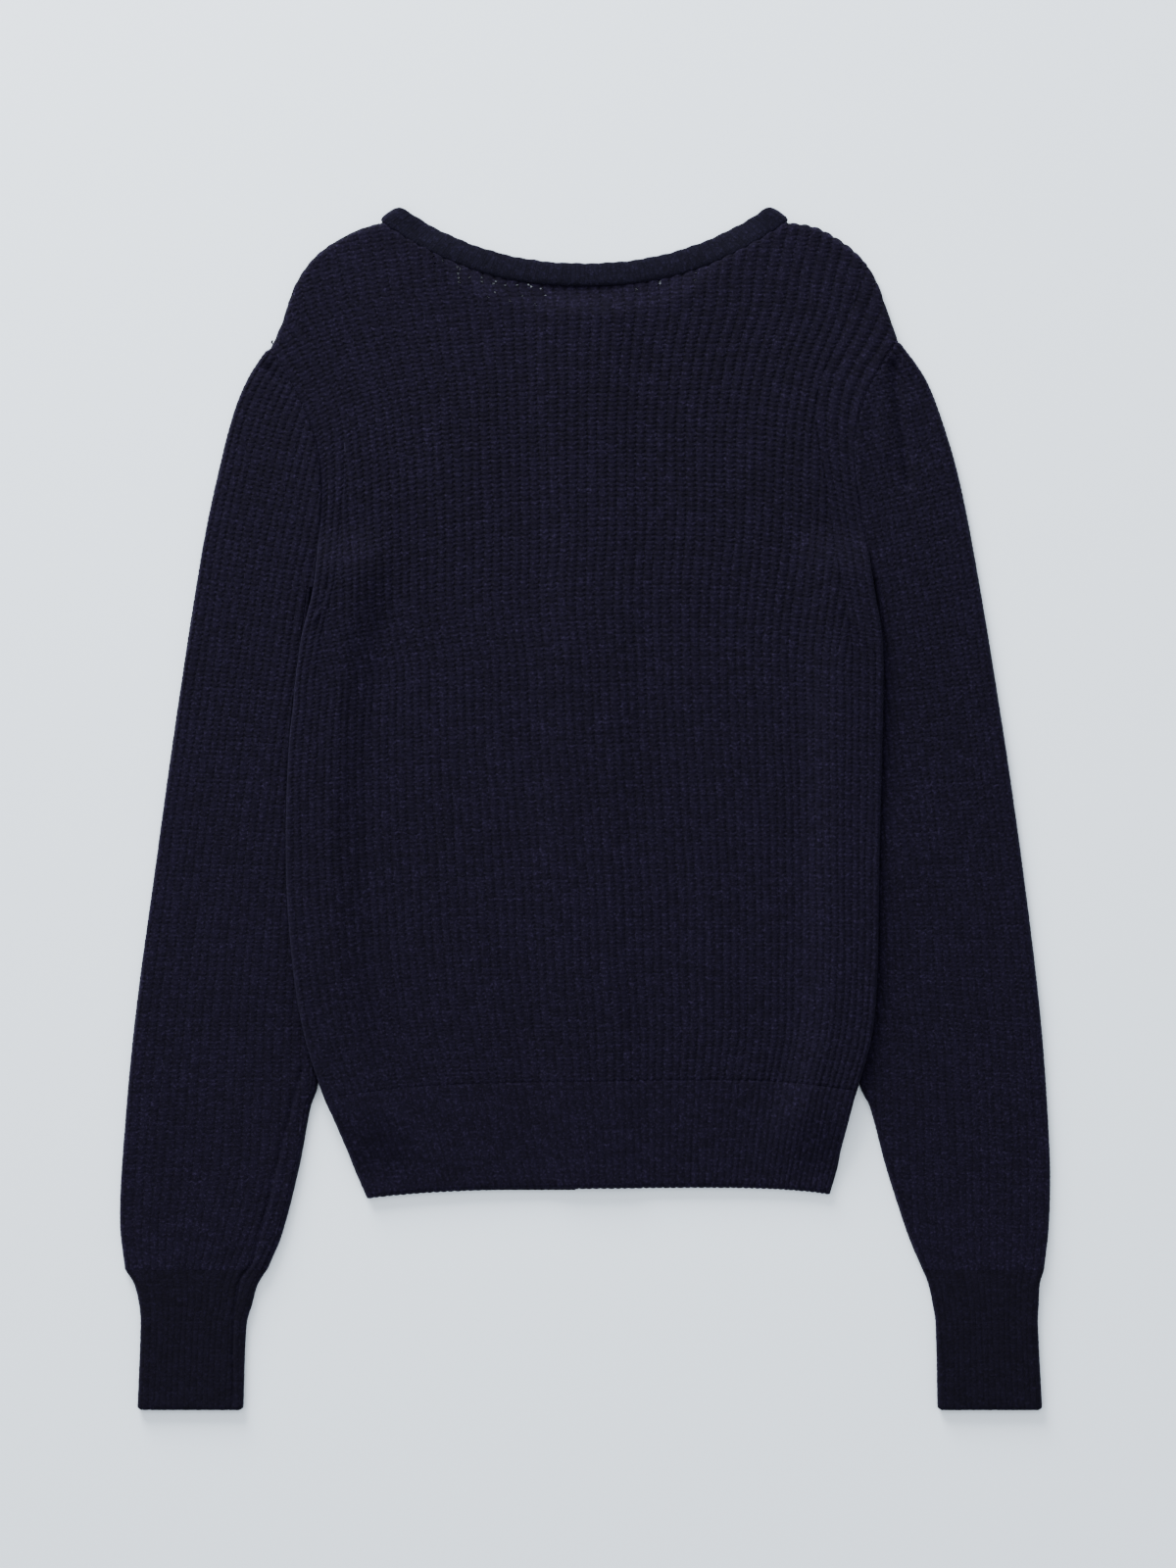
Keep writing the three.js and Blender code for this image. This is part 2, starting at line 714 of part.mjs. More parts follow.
for (const side of ["left", "right"]) {
  add(`sleeve_${side}`, sleeve(side), BODY_NAVY);
  add(`cuff_${side}`, cuff(side), BODY_NAVY);
}

add("neckband", neckband(), BAND_NAVY);
add("buttonhole_band", buttonholeBand(), BAND_NAVY);
add("button_band", bandStrip(BUTTONHOLE_BAND_WALL + LAYER_GAP, BUTTON_BAND_WALL), BAND_NAVY);
buttonHeights.forEach((y, i) => {
  const mesh = add(`button_${i + 1}`, disc(BUTTON_RADIUS, BUTTON_THICKNESS), BUTTON_NAVY, 0.4);
  mesh.position.set(bodyMiddle(y), y, 0);
});

export default cardigan;
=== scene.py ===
# %% [markdown]
# # A rib-knit cardigan, laid flat with its back up
#
# The garment is navy wool in a chunky rib. Its fronts lie on the table, its back lies on them,
# and each side of the body lies on the inner edge of a sleeve. Every knitted piece of the real
# cardigan is a grid here, whose columns run along the ribs and whose rows are courses.

# %% The fixed frame
import math

import bmesh
import bpy
import numpy as np
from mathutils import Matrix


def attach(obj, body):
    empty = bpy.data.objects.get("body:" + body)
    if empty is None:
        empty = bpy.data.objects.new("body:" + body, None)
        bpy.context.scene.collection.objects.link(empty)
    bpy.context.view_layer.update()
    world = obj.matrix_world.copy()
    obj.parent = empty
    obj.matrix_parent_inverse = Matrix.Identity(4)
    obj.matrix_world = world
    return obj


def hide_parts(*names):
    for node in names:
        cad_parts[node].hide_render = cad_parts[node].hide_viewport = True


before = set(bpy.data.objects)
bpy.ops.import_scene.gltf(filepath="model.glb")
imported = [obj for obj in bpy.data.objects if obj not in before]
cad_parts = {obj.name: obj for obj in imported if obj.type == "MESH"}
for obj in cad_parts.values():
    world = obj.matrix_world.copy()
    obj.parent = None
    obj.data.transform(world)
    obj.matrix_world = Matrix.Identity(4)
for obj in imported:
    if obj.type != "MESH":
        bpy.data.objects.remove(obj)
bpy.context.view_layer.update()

MM = 0.001

# %% [markdown]
# ## Camera, table and light
#
# The garment is seen from straight above, by a long lens that keeps the whole at one scale. The
# light is broad and soft, from the upper left in a pale room, so that each rib and each edge has
# a faint shadow below it and to its right.

# %% Camera, table and light
CAMERA_HEIGHT = 2.4
VIEW_HEIGHT = 0.96  # height of the field of view at the table
VIEW_CENTRE = (0.0024, 0.0147)
SENSOR = 36.0
TABLE_REACH = 3.0


def hex_colour(code):
    """An sRGB hex colour as linear RGBA."""
    channels = [int(code[i : i + 2], 16) / 255 for i in (0, 2, 4)]
    linear = [c / 12.92 if c <= 0.04045 else ((c + 0.055) / 1.055) ** 2.4 for c in channels]
    return (*linear, 1.0)


def link(thing):
    bpy.context.scene.collection.objects.link(thing)
    return thing


def new_material(name, settings):
    """A material and its shader, with the shader's inputs set: {input: value}."""
    material = bpy.data.materials.new(name)
    material.use_nodes = True
    shader = material.node_tree.nodes["Principled BSDF"]
    for key, value in settings.items():
        shader.inputs[key].default_value = value
    return material, shader


lens = bpy.data.cameras.new("camera")
lens.sensor_fit = "VERTICAL"
lens.sensor_height = SENSOR
lens.lens = SENSOR * CAMERA_HEIGHT / VIEW_HEIGHT
camera = link(bpy.data.objects.new("camera", lens))
camera.location = (*VIEW_CENTRE, CAMERA_HEIGHT)
bpy.context.scene.camera = camera


def area_light(name, size, power, place):
    """A white square lamp that faces the middle of the table."""
    data = bpy.data.lights.new(name, "AREA")
    data.size = size
    data.energy = power
    lamp = link(bpy.data.objects.new(name, data))
    lamp.location = place
    lamp.rotation_euler = lamp.location.to_track_quat("Z", "Y").to_euler()


area_light("window_light", 1.5, 250, (-1.1, 2.6, 1.2))
area_light("fill_light", 3.2, 60, (-0.2, 0.4, 2.6))

room = bpy.data.worlds.new("pale_room")
room.use_nodes = True
room.node_tree.nodes["Background"].inputs["Color"].default_value = hex_colour("E9EEF2")
room.node_tree.nodes["Background"].inputs["Strength"].default_value = 0.9
bpy.context.scene.world = room

bm = bmesh.new()
bmesh.ops.create_grid(bm, x_segments=1, y_segments=1, size=TABLE_REACH)
table_mesh = bpy.data.meshes.new("table_top")
bm.to_mesh(table_mesh)
bm.free()
table_top = link(bpy.data.objects.new("table_top", table_mesh))

paint = {"Base Color": hex_colour("E8F3FF"), "Roughness": 0.9}
table_mesh.materials.append(new_material("matt_white_table", paint)[0])
print("camera", tuple(round(c, 4) for c in camera.location), "lens", round(lens.lens, 1))

# %% [markdown]
# ## The cut
#
# The outlines are given by a few sizes in millimetres, as in the solids: X to the wearer's right,
# Y up to the neck. A smooth curve runs through each named column of a table. A place on the table
# top is a complex number, x + y j, so that whole rows of stitches are worked out at once.

# %% The cut
SIDES = ("left", "right")
SIGN = {"left": -1, "right": 1}
WALL = 3.0  # thickness of the rib knit
LAYER_GAP, SEAM_GAP = 0.3, 0.4
LAID = 2 * WALL + LAYER_GAP  # height of a tube pressed flat

SHOULDER_SHARE = 0.22  # part of the top edge's length in each shoulder
HEAD_FADE = 3  # how soon the top edge's curve dies out below it
HEM_SEAM_ARCH, HEM_EDGE_ARCH = 8, 5  # their rise in the middle


def table(names, *rows):
    """Rows of numbers under named columns."""
    return dict(zip(names.split(), np.array(rows, float).T))


BODY_SIDES = table(
    "y left right",
    (-240, -132, 149), (-219, -141, 155), (-195, -150, 159), (-177, -158.5, 165),
    (-140, -170.5, 175.5), (-100, -177.5, 179), (-40, -182, 180), (35, -180.5, 182),
    (100, -173.5, 182.5), (135, -165.5, 177), (170, -162.5, 172), (200, -162, 168),
    (230, -167, 167.5), (255, -178.5, 174.5), (285, -195.5, 192),
)
HEM_FOOT = {"left": -238.5, "right": -236}
HEM_SEAM = {"left": -177, "right": -173}
SHOULDER_TIP = {"left": 279, "right": 285}
UNDERARM = {"left": 134, "right": 139.5}
SHOULDERS = {
    "left": table("x y", (-183.3, 300), (-176, 320.5), (-162.5, 338.5), (-141.5, 351.8)),
    "right": table("x y", (186.5, 300), (179, 321), (166.5, 339), (144, 354)),
}

NECK_MIDDLE = 0.2
NECK_START = 0.12  # where the fronts' neck edges start
NECK_LINES = table(
    "half low high bend",
    (123.8, 319.9, 357.8, 2.3),  # the back's neck edge
    (123, 320.3, 358.4, 2.3),  # the neckband's seam on the back
    (111.4, 333, 366.5, 2.2),  # the neckband's free edge on the back
    (123, 285.4, 358.4, 3),  # the neckband's seam on the fronts
    (111.4, 298.5, 366.5, 3),  # the neckband's free edge on the fronts
)
BACK_NECK, BACK_SEAM, BACK_EDGE, FRONT_SEAM, FRONT_EDGE = range(5)

TUCK = 25  # how much of a sleeve lies under the body
TUCK_RAMP = 27
TUCK_RISE = (-228, -180)
TUCK_FALL = (141, 175)

SLEEVE_FOOT = -282
SLEEVE_OUTER = table(
    "y left right",
    (-282, -280.5, 281), (-255, -283.5, 284), (-213, -282, 284.5), (-130, -274.5, 279),
    (-33, -261.5, 267.5), (63, -248, 253.5), (159, -233, 237.5), (207, -223, 227.5),
    (243, -213.5, 216.5), (264, -204.5, 207.5), (285, -190.5, 192.5),
)
SLEEVE_INNER = table(
    "y left right",
    (-282, -193.8, 207), (-261, -185, 198.2), (-219, -174.2, 184.6), (-183, -167.4, 175),
    (-171, -163.4, 169.2), (-140, -160, 163.5), (-100, -157.5, 158.5), (0, -158, 158.5),
    (60, -164.5, 168), (100, -170, 178), (120, -168.5, 179.3), (140, -165.5, 177),
)
CUFF_FOOT = -368
CUFF_OUTER = table(
    "y left right",
    (-368, -273, 280), (-315, -271, 277.3), (-303, -272, 277.8), (-291, -275, 278.5),
    (-282, -280.5, 281),
)
CUFF_INNER = table(
    "y left right",
    (-368, -208.5, 216.2), (-315, -206.4, 215), (-303, -203, 213.2), (-291, -199.6, 210.6),
    (-282, -193.8, 207),
)

BAND_HALF_WIDTH, BAND_FOOT, BAND_RAMP = 13, -232, 22
BUTTONHOLE_BAND_WALL, BUTTON_BAND_WALL = 2.4, 2.0


def mix(a, b, t):
    return a + (b - a) * t


def smooth_step(x, low, high):
    t = np.clip((x - low) / (high - low), 0, 1)
    return t * t * (3 - 2 * t)


def column(rows, name, along="y"):
    """One column of a table as a smooth function of another."""
    y, x = rows[along], rows[name]
    last = len(y) - 1
    before = np.maximum(np.arange(len(y)) - 1, 0)
    after = np.minimum(np.arange(len(y)) + 1, last)
    slope = (x[after] - x[before]) / (y[after] - y[before])

    def value(at):
        i = np.clip(np.searchsorted(y, at) - 1, 0, last - 1)
        step = y[i + 1] - y[i]
        t = np.clip((at - y[i]) / step, 0, 1)
        s = 1 - t
        start = s * s * ((1 + 2 * t) * x[i] + t * step * slope[i])
        end = t * t * ((1 + 2 * s) * x[i + 1] - s * step * slope[i + 1])
        return start + end

    return value


body_side = {side: column(BODY_SIDES, side) for side in SIDES}


def body_middle(y):
    return (body_side["left"](y) + body_side["right"](y)) / 2


def neck_point(line, t):
    """A place on a neck line, with t from -1 at the left to 1 at the right."""
    half, low, high, bend = (NECK_LINES[name][line] for name in ("half", "low", "high", "bend"))
    return NECK_MIDDLE + half * t + 1j * mix(low, high, np.abs(t) ** bend)


def shoulder_line(side):
    """A shoulder from its tip to the neck, even in length."""
    tip_y = SHOULDER_TIP[side]
    rows = SHOULDERS[side]
    ends = body_side[side](tip_y) + 1j * tip_y, neck_point(BACK_NECK, SIGN[side])
    knots = np.array([ends[0], *(rows["x"] + 1j * rows["y"]), ends[1]])
    padded = np.array([knots[0], *knots, knots[-1]])
    spans = np.linspace(0, len(knots) - 1, 400)  # fine enough for an even length
    i = np.minimum(spans.astype(int), len(knots) - 2)
    t = spans - i
    a, b, c, d = (padded[i + k] for k in range(4))
    line = b + 0.5 * t * (c - a + t * (2 * a - 5 * b + 4 * c - d + t * (3 * (b - c) + d - a)))
    length = np.concatenate([[0], np.cumsum(np.abs(np.diff(line)))])

    def value(share):
        at = share * length[-1]
        return np.interp(at, length, line.real) + 1j * np.interp(at, length, line.imag)

    return value


shoulder = {side: shoulder_line(side) for side in SIDES}


def body_head(u):
    """The top of the body from side to side: shoulder, neck and shoulder."""
    u = np.asarray(u, float)
    neck = neck_point(BACK_NECK, mix(-1, 1, (u - SHOULDER_SHARE) / (1 - 2 * SHOULDER_SHARE)))
    left = shoulder["left"](np.clip(u / SHOULDER_SHARE, 0, 1))
    right = shoulder["right"](np.clip((1 - u) / SHOULDER_SHARE, 0, 1))
    return np.where(u < SHOULDER_SHARE, left, np.where(u > 1 - SHOULDER_SHARE, right, neck))


def bow(line, u):
    """How far a line bows away from the straight line between its ends."""
    return line(u) - mix(line(0.0), line(1.0), u)


def patch(left, right, foot, head):
    """A four-sided piece as a function of u, across the ribs, and v, along them."""

    def place(u, v):
        bows = bow(foot, u) * (1 - v), bow(head, u) * v**HEAD_FADE
        return mix(left(v), right(v), u) + bows[0] + bows[1]

    return place


def side_line(side, low, high):
    def value(v):
        y = mix(low[side], high[side], v)
        return body_side[side](y) + 1j * y

    return value


def arched_line(heights, arch, drop=0):
    """A line across the body, higher in the middle."""
    ends = [body_side[s](heights[s]) + 1j * (heights[s] - drop) for s in SIDES]
    return lambda u: mix(*ends, u) + 1j * arch * (1 - (2 * u - 1) ** 4)


hem_edge = arched_line(HEM_FOOT, HEM_EDGE_ARCH)
hem_seam = arched_line(HEM_SEAM, HEM_SEAM_ARCH, SEAM_GAP)

print("chest", round(float(body_side["right"](35.0) - body_side["left"](35.0)), 1), "mm")

# %% [markdown]
# ## How high each layer lies
#
# Cloth that lies on cloth is lifted by it. The body's two side strips climb over the tucked
# edges of the sleeves, and the two front bands lift the middle of the back a little. At the neck
# the back has no front under it, so it sinks to the table.

# %% How high each layer lies
NECK_SINK = 2.6  # how far the back sinks above the fronts' neck edge
NECK_SLOPE = 21  # over this distance
SWELL = 0.5  # slow unevenness of smoothed cloth


def side_lift(p):
    rise = smooth_step(p.imag, *TUCK_RISE) * (1 - smooth_step(p.imag, *TUCK_FALL))
    left = p.real - body_side["left"](p.imag)
    right = body_side["right"](p.imag) - p.real
    near = 1 - smooth_step(np.minimum(left, right), TUCK, TUCK + TUCK_RAMP)
    return (LAID + LAYER_GAP) * rise * near


def band_lift(p):
    extra = BUTTONHOLE_BAND_WALL + BUTTON_BAND_WALL + LAYER_GAP - WALL
    off = np.abs(p.real - body_middle(p.imag)) - BAND_HALF_WIDTH
    return extra * (1 - smooth_step(off, 1, BAND_RAMP))


def front_top(p):
    return WALL + side_lift(p)


def neck_sink(p):
    """How far the back sinks above the fronts' neck edge."""
    t = np.clip((p.real - NECK_MIDDLE) / NECK_LINES["half"][FRONT_EDGE], -1, 1)
    clear = p.imag - neck_point(FRONT_EDGE, t).imag
    return (NECK_SINK + band_lift(p)) * smooth_step(clear, 1, NECK_SLOPE)


def back_bottom(p):
    return front_top(p) + LAYER_GAP + band_lift(p) - neck_sink(p)


def swell(p, seed=0.0):
    """A slow, shallow unevenness."""
    x, y = p.real, p.imag
    waves = np.sin(x / 31 + 1.7 * np.sin(y / 83 + seed)) * np.sin(y / 47 + seed)
    waves = waves + 0.6 * np.sin((x + y) / 59 + 2 * seed) + 0.4 * np.sin((0.6 * x - y) / 24 + seed)
    return SWELL * waves / 2


print("body over sleeve, mm:", round(float(side_lift(-180 + 0j)), 2))

# %% [markdown]
# ## Knit as a grid
#
# In this rib each column of stitches stands up as a rounded cord with a groove beside it, and
# each stitch is a wave in that cord. Where the rib is stretched the waves grow; where it is drawn
# in, as in the hem and the cuffs, only the cords are left. A grid with four columns a rib and two
# rows a course is just fine enough for both.
#
# The grid comes from one operator, and a layout function puts every corner in its place. The rib
# and course of a corner are its place on the UV map, so the yarn in the material lines up with
# the relief, and an attribute says how open the stitches are.

# %% Knit as a grid
PER_RIB, PER_COURSE = 4, 2
RIB_RISE = 0.85  # cord above groove
STITCH_RISE = 0.42  # an open stitch above the dip before it
STITCH_SAG = 0.35  # how far its middle hangs below its sides, in courses
CORD_MEAN = 0.6  # the height on a cord that is the cloth's own level
STITCH_MEAN = 0.5  # the same along it
UNEVEN = 0.28  # how far cords wander from their line
DRIFTS = (4.3, 11.0)  # over how many courses they do so
HAIR = 0.05  # unevenness of every corner
LOWEST = 0.02  # no corner goes below this
TOUCHING = 0.02  # corners nearer than this become one
DRAWN_SHUT = 0.36  # how much smaller a hole is than its stitch


def cord(ribs):
    """Height across a rib, from 0 in the groove to 1 on the crest."""
    return 1 - (2 * np.mod(ribs, 1) - 1) ** 2


def stitch(ribs, courses):
    """Height along a rib, from 0 between two stitches to 1 on one."""
    groove = 1 - cord(ribs)
    return np.abs(np.sin(np.pi * (courses - STITCH_SAG * groove)))


def relief(ribs, courses, rise=RIB_RISE, opening=1.0):
    along = STITCH_RISE * opening * (stitch(ribs, courses) - STITCH_MEAN)
    return rise * (cord(ribs) - CORD_MEAN) + along


def rolled(distance, depth):
    """How far the face rolls down at a distance from an edge."""
    inside = np.clip(1 - distance / depth, 0, 1)
    return depth * (1 - np.sqrt(1 - inside**2))


def from_edges(p):
    """Distances from the sides, the foot and the head of a piece."""
    side = np.minimum(np.abs(p - p[:, :1]), np.abs(p - p[:, -1:]))
    return side, np.abs(p - p[:1]), np.abs(p - p[-1:])


def wander(ribs, courses, seed):
    """A small sideways drift of each cord."""
    phases = np.random.default_rng(seed).uniform(0, 2 * np.pi, (2, int(ribs.max()) + 2))
    phases[:, -2] = phases[:, 0]  # a tube ends on the column that it started with
    first = np.floor(ribs).astype(int)
    part = ribs - first
    drift = 0
    for phase, length in zip(phases, DRIFTS):
        here = np.sin(courses / length + phase[first])
        beyond = np.sin(courses / length + phase[first + 1])
        drift = drift + mix(here, beyond, part)
    return UNEVEN * drift


def corners_of(mesh):
    """The mesh's corners, as one long row of numbers."""
    corners = np.empty(3 * len(mesh.vertices))
    mesh.vertices.foreach_get("co", corners)
    return corners


def add_piece(name, mesh):
    """Puts a mesh in the scene as a smooth piece of the garment."""
    mesh.shade_smooth()
    piece = link(bpy.data.objects.new(name, mesh))
    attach(piece, "root")
    return piece


def drop_faces(bm, unwanted):
    """Takes faces out and draws their neighbours in a little over each hole."""
    for face in unwanted:
        middle = face.calc_center_median()
        for corner in face.verts:
            corner.co = corner.co.lerp(middle, DRAWN_SHUT)
    bmesh.ops.delete(bm, geom=unwanted, context="FACES")


def knit(name, ribs, courses, layout, per_course=PER_COURSE, facing=1, drop=None):
    """A knitted piece. layout(ribs, courses) gives x, y, z, courses kept and opening."""
    columns, rows = ribs * PER_RIB, courses * per_course
    bm = bmesh.new()
    bmesh.ops.create_grid(bm, x_segments=columns, y_segments=rows, size=1)
    if facing < 0:
        bmesh.ops.reverse_faces(bm, faces=bm.faces[:])
    mesh = bpy.data.meshes.new(name)
    bm.to_mesh(mesh)
    u, v = (corners_of(mesh).reshape(-1, 3)[:, :2].T + 1) / 2
    column_of, row_of = np.rint(u * columns).astype(int), np.rint(v * rows).astype(int)
    across, along = np.arange(columns + 1) / PER_RIB, np.arange(rows + 1) / per_course
    rib_grid, course_grid = np.meshgrid(across, along)
    made = np.broadcast_arrays(rib_grid, *layout(rib_grid, course_grid))
    rib_at, x, y, z, kept, opening = (values[row_of, column_of] for values in made)
    points = np.column_stack([x, y, np.maximum(z, LOWEST)]) * MM
    mesh.vertices.foreach_set("co", points.ravel())

    loops = np.empty(len(mesh.loops), int)
    mesh.loops.foreach_get("vertex_index", loops)
    stitches = np.column_stack([rib_at, kept])
    mesh.uv_layers.new(name="stitches").data.foreach_set("uv", stitches[loops].ravel())
    mesh.attributes.new("opening", "FLOAT", "POINT").data.foreach_set("value", opening)

    bm.clear()
    bm.from_mesh(mesh)
    if drop is not None:
        quads = loops.reshape(-1, 4)
        middles = np.column_stack([stitches, points / MM])[quads].mean(axis=1)
        bm.faces.ensure_lookup_table()
        drop_faces(bm, [bm.faces[k] for k in np.flatnonzero(drop(*middles.T))])
    bmesh.ops.remove_doubles(bm, verts=bm.verts[:], dist=TOUCHING * MM)
    bm.to_mesh(mesh)
    bm.free()

    points = corners_of(mesh)
    hair = np.random.default_rng(len(name)).normal(0, HAIR, points.size) * MM
    points = (points + hair).reshape(-1, 3)
    points[:, 2] = np.maximum(points[:, 2], LOWEST * MM)
    mesh.vertices.foreach_set("co", points.ravel())
    mesh.update()
    size = np.ptp(points, axis=0) / MM
    print(f"{name}: {ribs} ribs, {len(mesh.polygons)} faces, mm", size.round(1))
    return add_piece(name, mesh)


print("grid columns a rib:", PER_RIB, "and rows a course:", PER_COURSE)


# %% [markdown]
# ## Where the back's stitches lie
#
# The back was knitted with 70 ribs, a little closer at the sides. Above the armholes they fan
# out towards the shoulders while the sides come in, so some are knitted away beside the few that
# carry on along the edge. The rows sag towards both sides. Shoulders and neck are cut across
# this fan, so each rib simply ends where it meets them.

# %% Where the back's stitches lie
BODY_RIBS, BODY_COURSES, HEM_COURSES = 70, 170, 22
TOP_COURSES = 26  # the courses above the shoulder tips
SIDE_NARROWING = 0.17  # how much narrower the ribs near a side lie
NARROWING_AT = (0.35, 0.85)  # between where, in halves of the back
EDGE_RIBS = {"left": 3, "right": 4}  # ribs that carry on along an armhole
EDGE_SPREADING = 0.3  # how much wider they lie near the shoulder tips
SPREADING_AT = (200, 270)  # between which heights
SHOULDER_LEAN = 0.42  # how far the outer ribs lean out above the shoulder tips
ROW_ROUNDS = 4  # in which the two ends of a row are found
NECK_TURNING = 1.6  # how far the neck edge reaches under the neckband
SCALLOP = 0.9  # how far a cord's end stands out between its grooves
LOWEST_CUT = 140  # a course that every rib reaches
CUT_STEP = 0.25

COURSE_LINES = table(
    "course y",
    (0, -167), (29, -94), (56, -22), (82, 50), (106.5, 121.5), (130.5, 193.5), (155.5, 265.5),
    (175, 319.5), (205, 403),
)
# sag: how far a row hangs at the sides; power: how near them it does so;
# tilt: how far it rises to the right; shift: how far the middle ribs stand to the right
ROWS = table(
    "y sag power tilt shift",
    (-167, 8, 4, 3, 10), (-100, 5, 4, 3, 9), (-40, 5, 4, 3, 8), (85, 12, 2.8, 7, -4),
    (130, 20, 2.6, 7, -7), (185, 31, 2.6, 7, -7), (240, 40, 4, 8, -7), (300, 50, 4.5, 9, -6),
    (400, 60, 4.5, 9, -6),
)
KNITTED_AWAY = table(  # how much cloth, in mm, is gone from each side
    "y left right",
    (60, 0, 0), (90, 0, 0), (115, 8, 5), (140, 16.5, 13), (182, 25, 23), (230, 30, 31),
    (255, 31, 33.5), (285, 32.5, 34), (420, 32.5, 34),
)
OPENINGS = table(  # how open the stitches are, from 0 for shut
    "y open",
    (-170, 0.3), (-90, 0.34), (-10, 0.4), (90, 0.52), (180, 0.7), (240, 0.72), (300, 0.6),
    (345, 0.5),
)

row_height = column(COURSE_LINES, "y", along="course")
row_sag, row_power = column(ROWS, "sag"), column(ROWS, "power")
row_tilt, row_shift = column(ROWS, "tilt"), column(ROWS, "shift")
gone = {side: column(KNITTED_AWAY, side) for side in SIDES}
opening_at = column(OPENINGS, "open")


def rib_share(ribs):
    """Where a rib stands, from 0 at the left to 1 at the right."""
    middles = (np.arange(BODY_RIBS) + 0.5) / BODY_RIBS
    widths = 1 - SIDE_NARROWING * smooth_step(np.abs(2 * middles - 1), *NARROWING_AT)
    edges = np.concatenate([[0], np.cumsum(widths)])
    return np.interp(ribs, np.arange(BODY_RIBS + 1), edges / edges[-1])


def rib_side(side, y):
    """The body's side, carried on above the shoulder tip."""
    lean = SIGN[side] * SHOULDER_LEAN
    return body_side[side](y) + lean * np.maximum(y - SHOULDER_TIP[side], 0)


def body_place(ribs, courses):
    """Where a stitch of the back lies, and its rib, before the top edge is cut."""
    level = row_height(courses)
    sag, tilt, shift = row_sag(level), row_tilt(level), row_shift(level)
    power = row_power(level)
    left, right = rib_side("left", level), rib_side("right", level)
    for _ in range(ROW_ROUNDS):
        low, high = left - gone["left"](level), right + gone["right"](level)
        near = (low + high - 2 * left) / (high - low)
        far = (2 * right - low - high) / (high - low)
        left = rib_side("left", level - sag * near**power - tilt * near)
        right = rib_side("right", level - sag * far**power + tilt * far)
    low, high = left - gone["left"](level), right + gone["right"](level)

    def fan(which):
        share = rib_share(which)
        return mix(low, high, share) + shift * (1 - (2 * share - 1) ** 2)

    x = fan(ribs)
    wider = 1 + EDGE_SPREADING * smooth_step(level, *SPREADING_AT)
    first, last = EDGE_RIBS["left"], BODY_RIBS - EDGE_RIBS["right"]
    edge = left + (fan(np.minimum(ribs, first)) - low) * wider
    x, ribs = np.where(x < edge, edge, x), np.where(x < edge, np.minimum(ribs, first), ribs)
    edge = right - (high - fan(np.maximum(ribs, last))) * wider
    x, ribs = np.where(x > edge, edge, x), np.where(x > edge, np.maximum(ribs, last), ribs)
    across = (2 * x - low - high) / (high - low)
    return x + 1j * (level - sag * np.abs(across) ** power + tilt * across), ribs


top_edge = body_head(np.linspace(0, 1, 1201))


def cut_line(x):
    """Height of the top edge at x, with the neck's turning."""
    on_neck = np.abs(x - NECK_MIDDLE) < NECK_LINES["half"][BACK_NECK]
    return np.interp(x, top_edge.real, top_edge.imag) + NECK_TURNING * on_neck


def last_courses(ribs):
    """The course at which each column of the back is cut off."""
    end = BODY_COURSES + TOP_COURSES + CUT_STEP / 2
    courses = np.arange(LOWEST_CUT, end, CUT_STEP)[:, None]
    p = body_place(ribs + 0 * courses, courses + 0 * ribs)[0]
    above = p.imag - cut_line(p.real) - SCALLOP * (cord(ribs) - CORD_MEAN)
    first = np.argmax(above > 0, axis=0)
    each = np.arange(ribs.size)
    low, high = above[first - 1, each], above[first, each]
    return courses[first - 1, 0] - CUT_STEP * low / (high - low)


print("courses in the middle:", last_courses(np.array([BODY_RIBS / 2])).round(1))

# %% [markdown]
# ## Creases that stayed in the cloth
#
# Where cloth was folded, gathered or sewn it keeps a mark. Each is a width, a height in mm, below
# zero for a trough, and a line of places. It fades away from its line and beyond its ends.

# %% Creases that stayed in the cloth
CREASES = (
    # the gathers at the head of the right sleeve
    (2.8, -2.6, (189, 270), (191, 252), (193.5, 235), (196.5, 217), (198, 198)),
    (5.0, 1.4, (181, 262), (182.5, 240), (184, 218)),
    (1.6, -1.3, (193.5, 267), (197, 253)),
    (6.0, -1.0, (200, 262), (204, 238), (208, 215)),
    # the gather at the head of the left sleeve
    (2.0, -1.6, (-194, 269), (-189, 262)),
    (3.0, 0.8, (-199, 262), (-195, 252)),
    # the left sleeve's seam, which has rolled round to the upper face near the cuff
    (0.9, -1.3, (-173.4, -160.5), (-180.6, -189.3), (-189, -222), (-195.6, -253.5), (-203, -278)),
    (0.9, -1.3, (-203, -278), (-209.6, -287), (-211.6, -297), (-214, -310), (-215, -334)),
    (0.9, -1.1, (-215, -334), (-213.5, -364)),
    (1.4, 0.5, (-171, -164), (-178, -191), (-186.3, -224), (-193, -255), (-200.5, -280)),
    # the right sleeve's seam, close to its inner edge
    (0.8, -0.9, (174, -150), (179.5, -190), (190.5, -228), (202, -262), (211, -283)),
    (0.8, -0.9, (211, -283), (217.5, -303), (220, -330), (221.5, -365)),
    # where the ribs were knitted away
    (1.1, -1.0, (-163, 121), (-158, 128), (-154.5, 141)),
    (1.1, 1.0, (-166, 113), (-160.5, 121), (-157, 132)),
    (1.3, 0.9, (177, 96), (168, 108), (158, 120), (152, 133)),
    (1.0, -0.8, (172, 97), (164, 107), (155, 119)),
)


CREASE_REACH = 4  # in widths


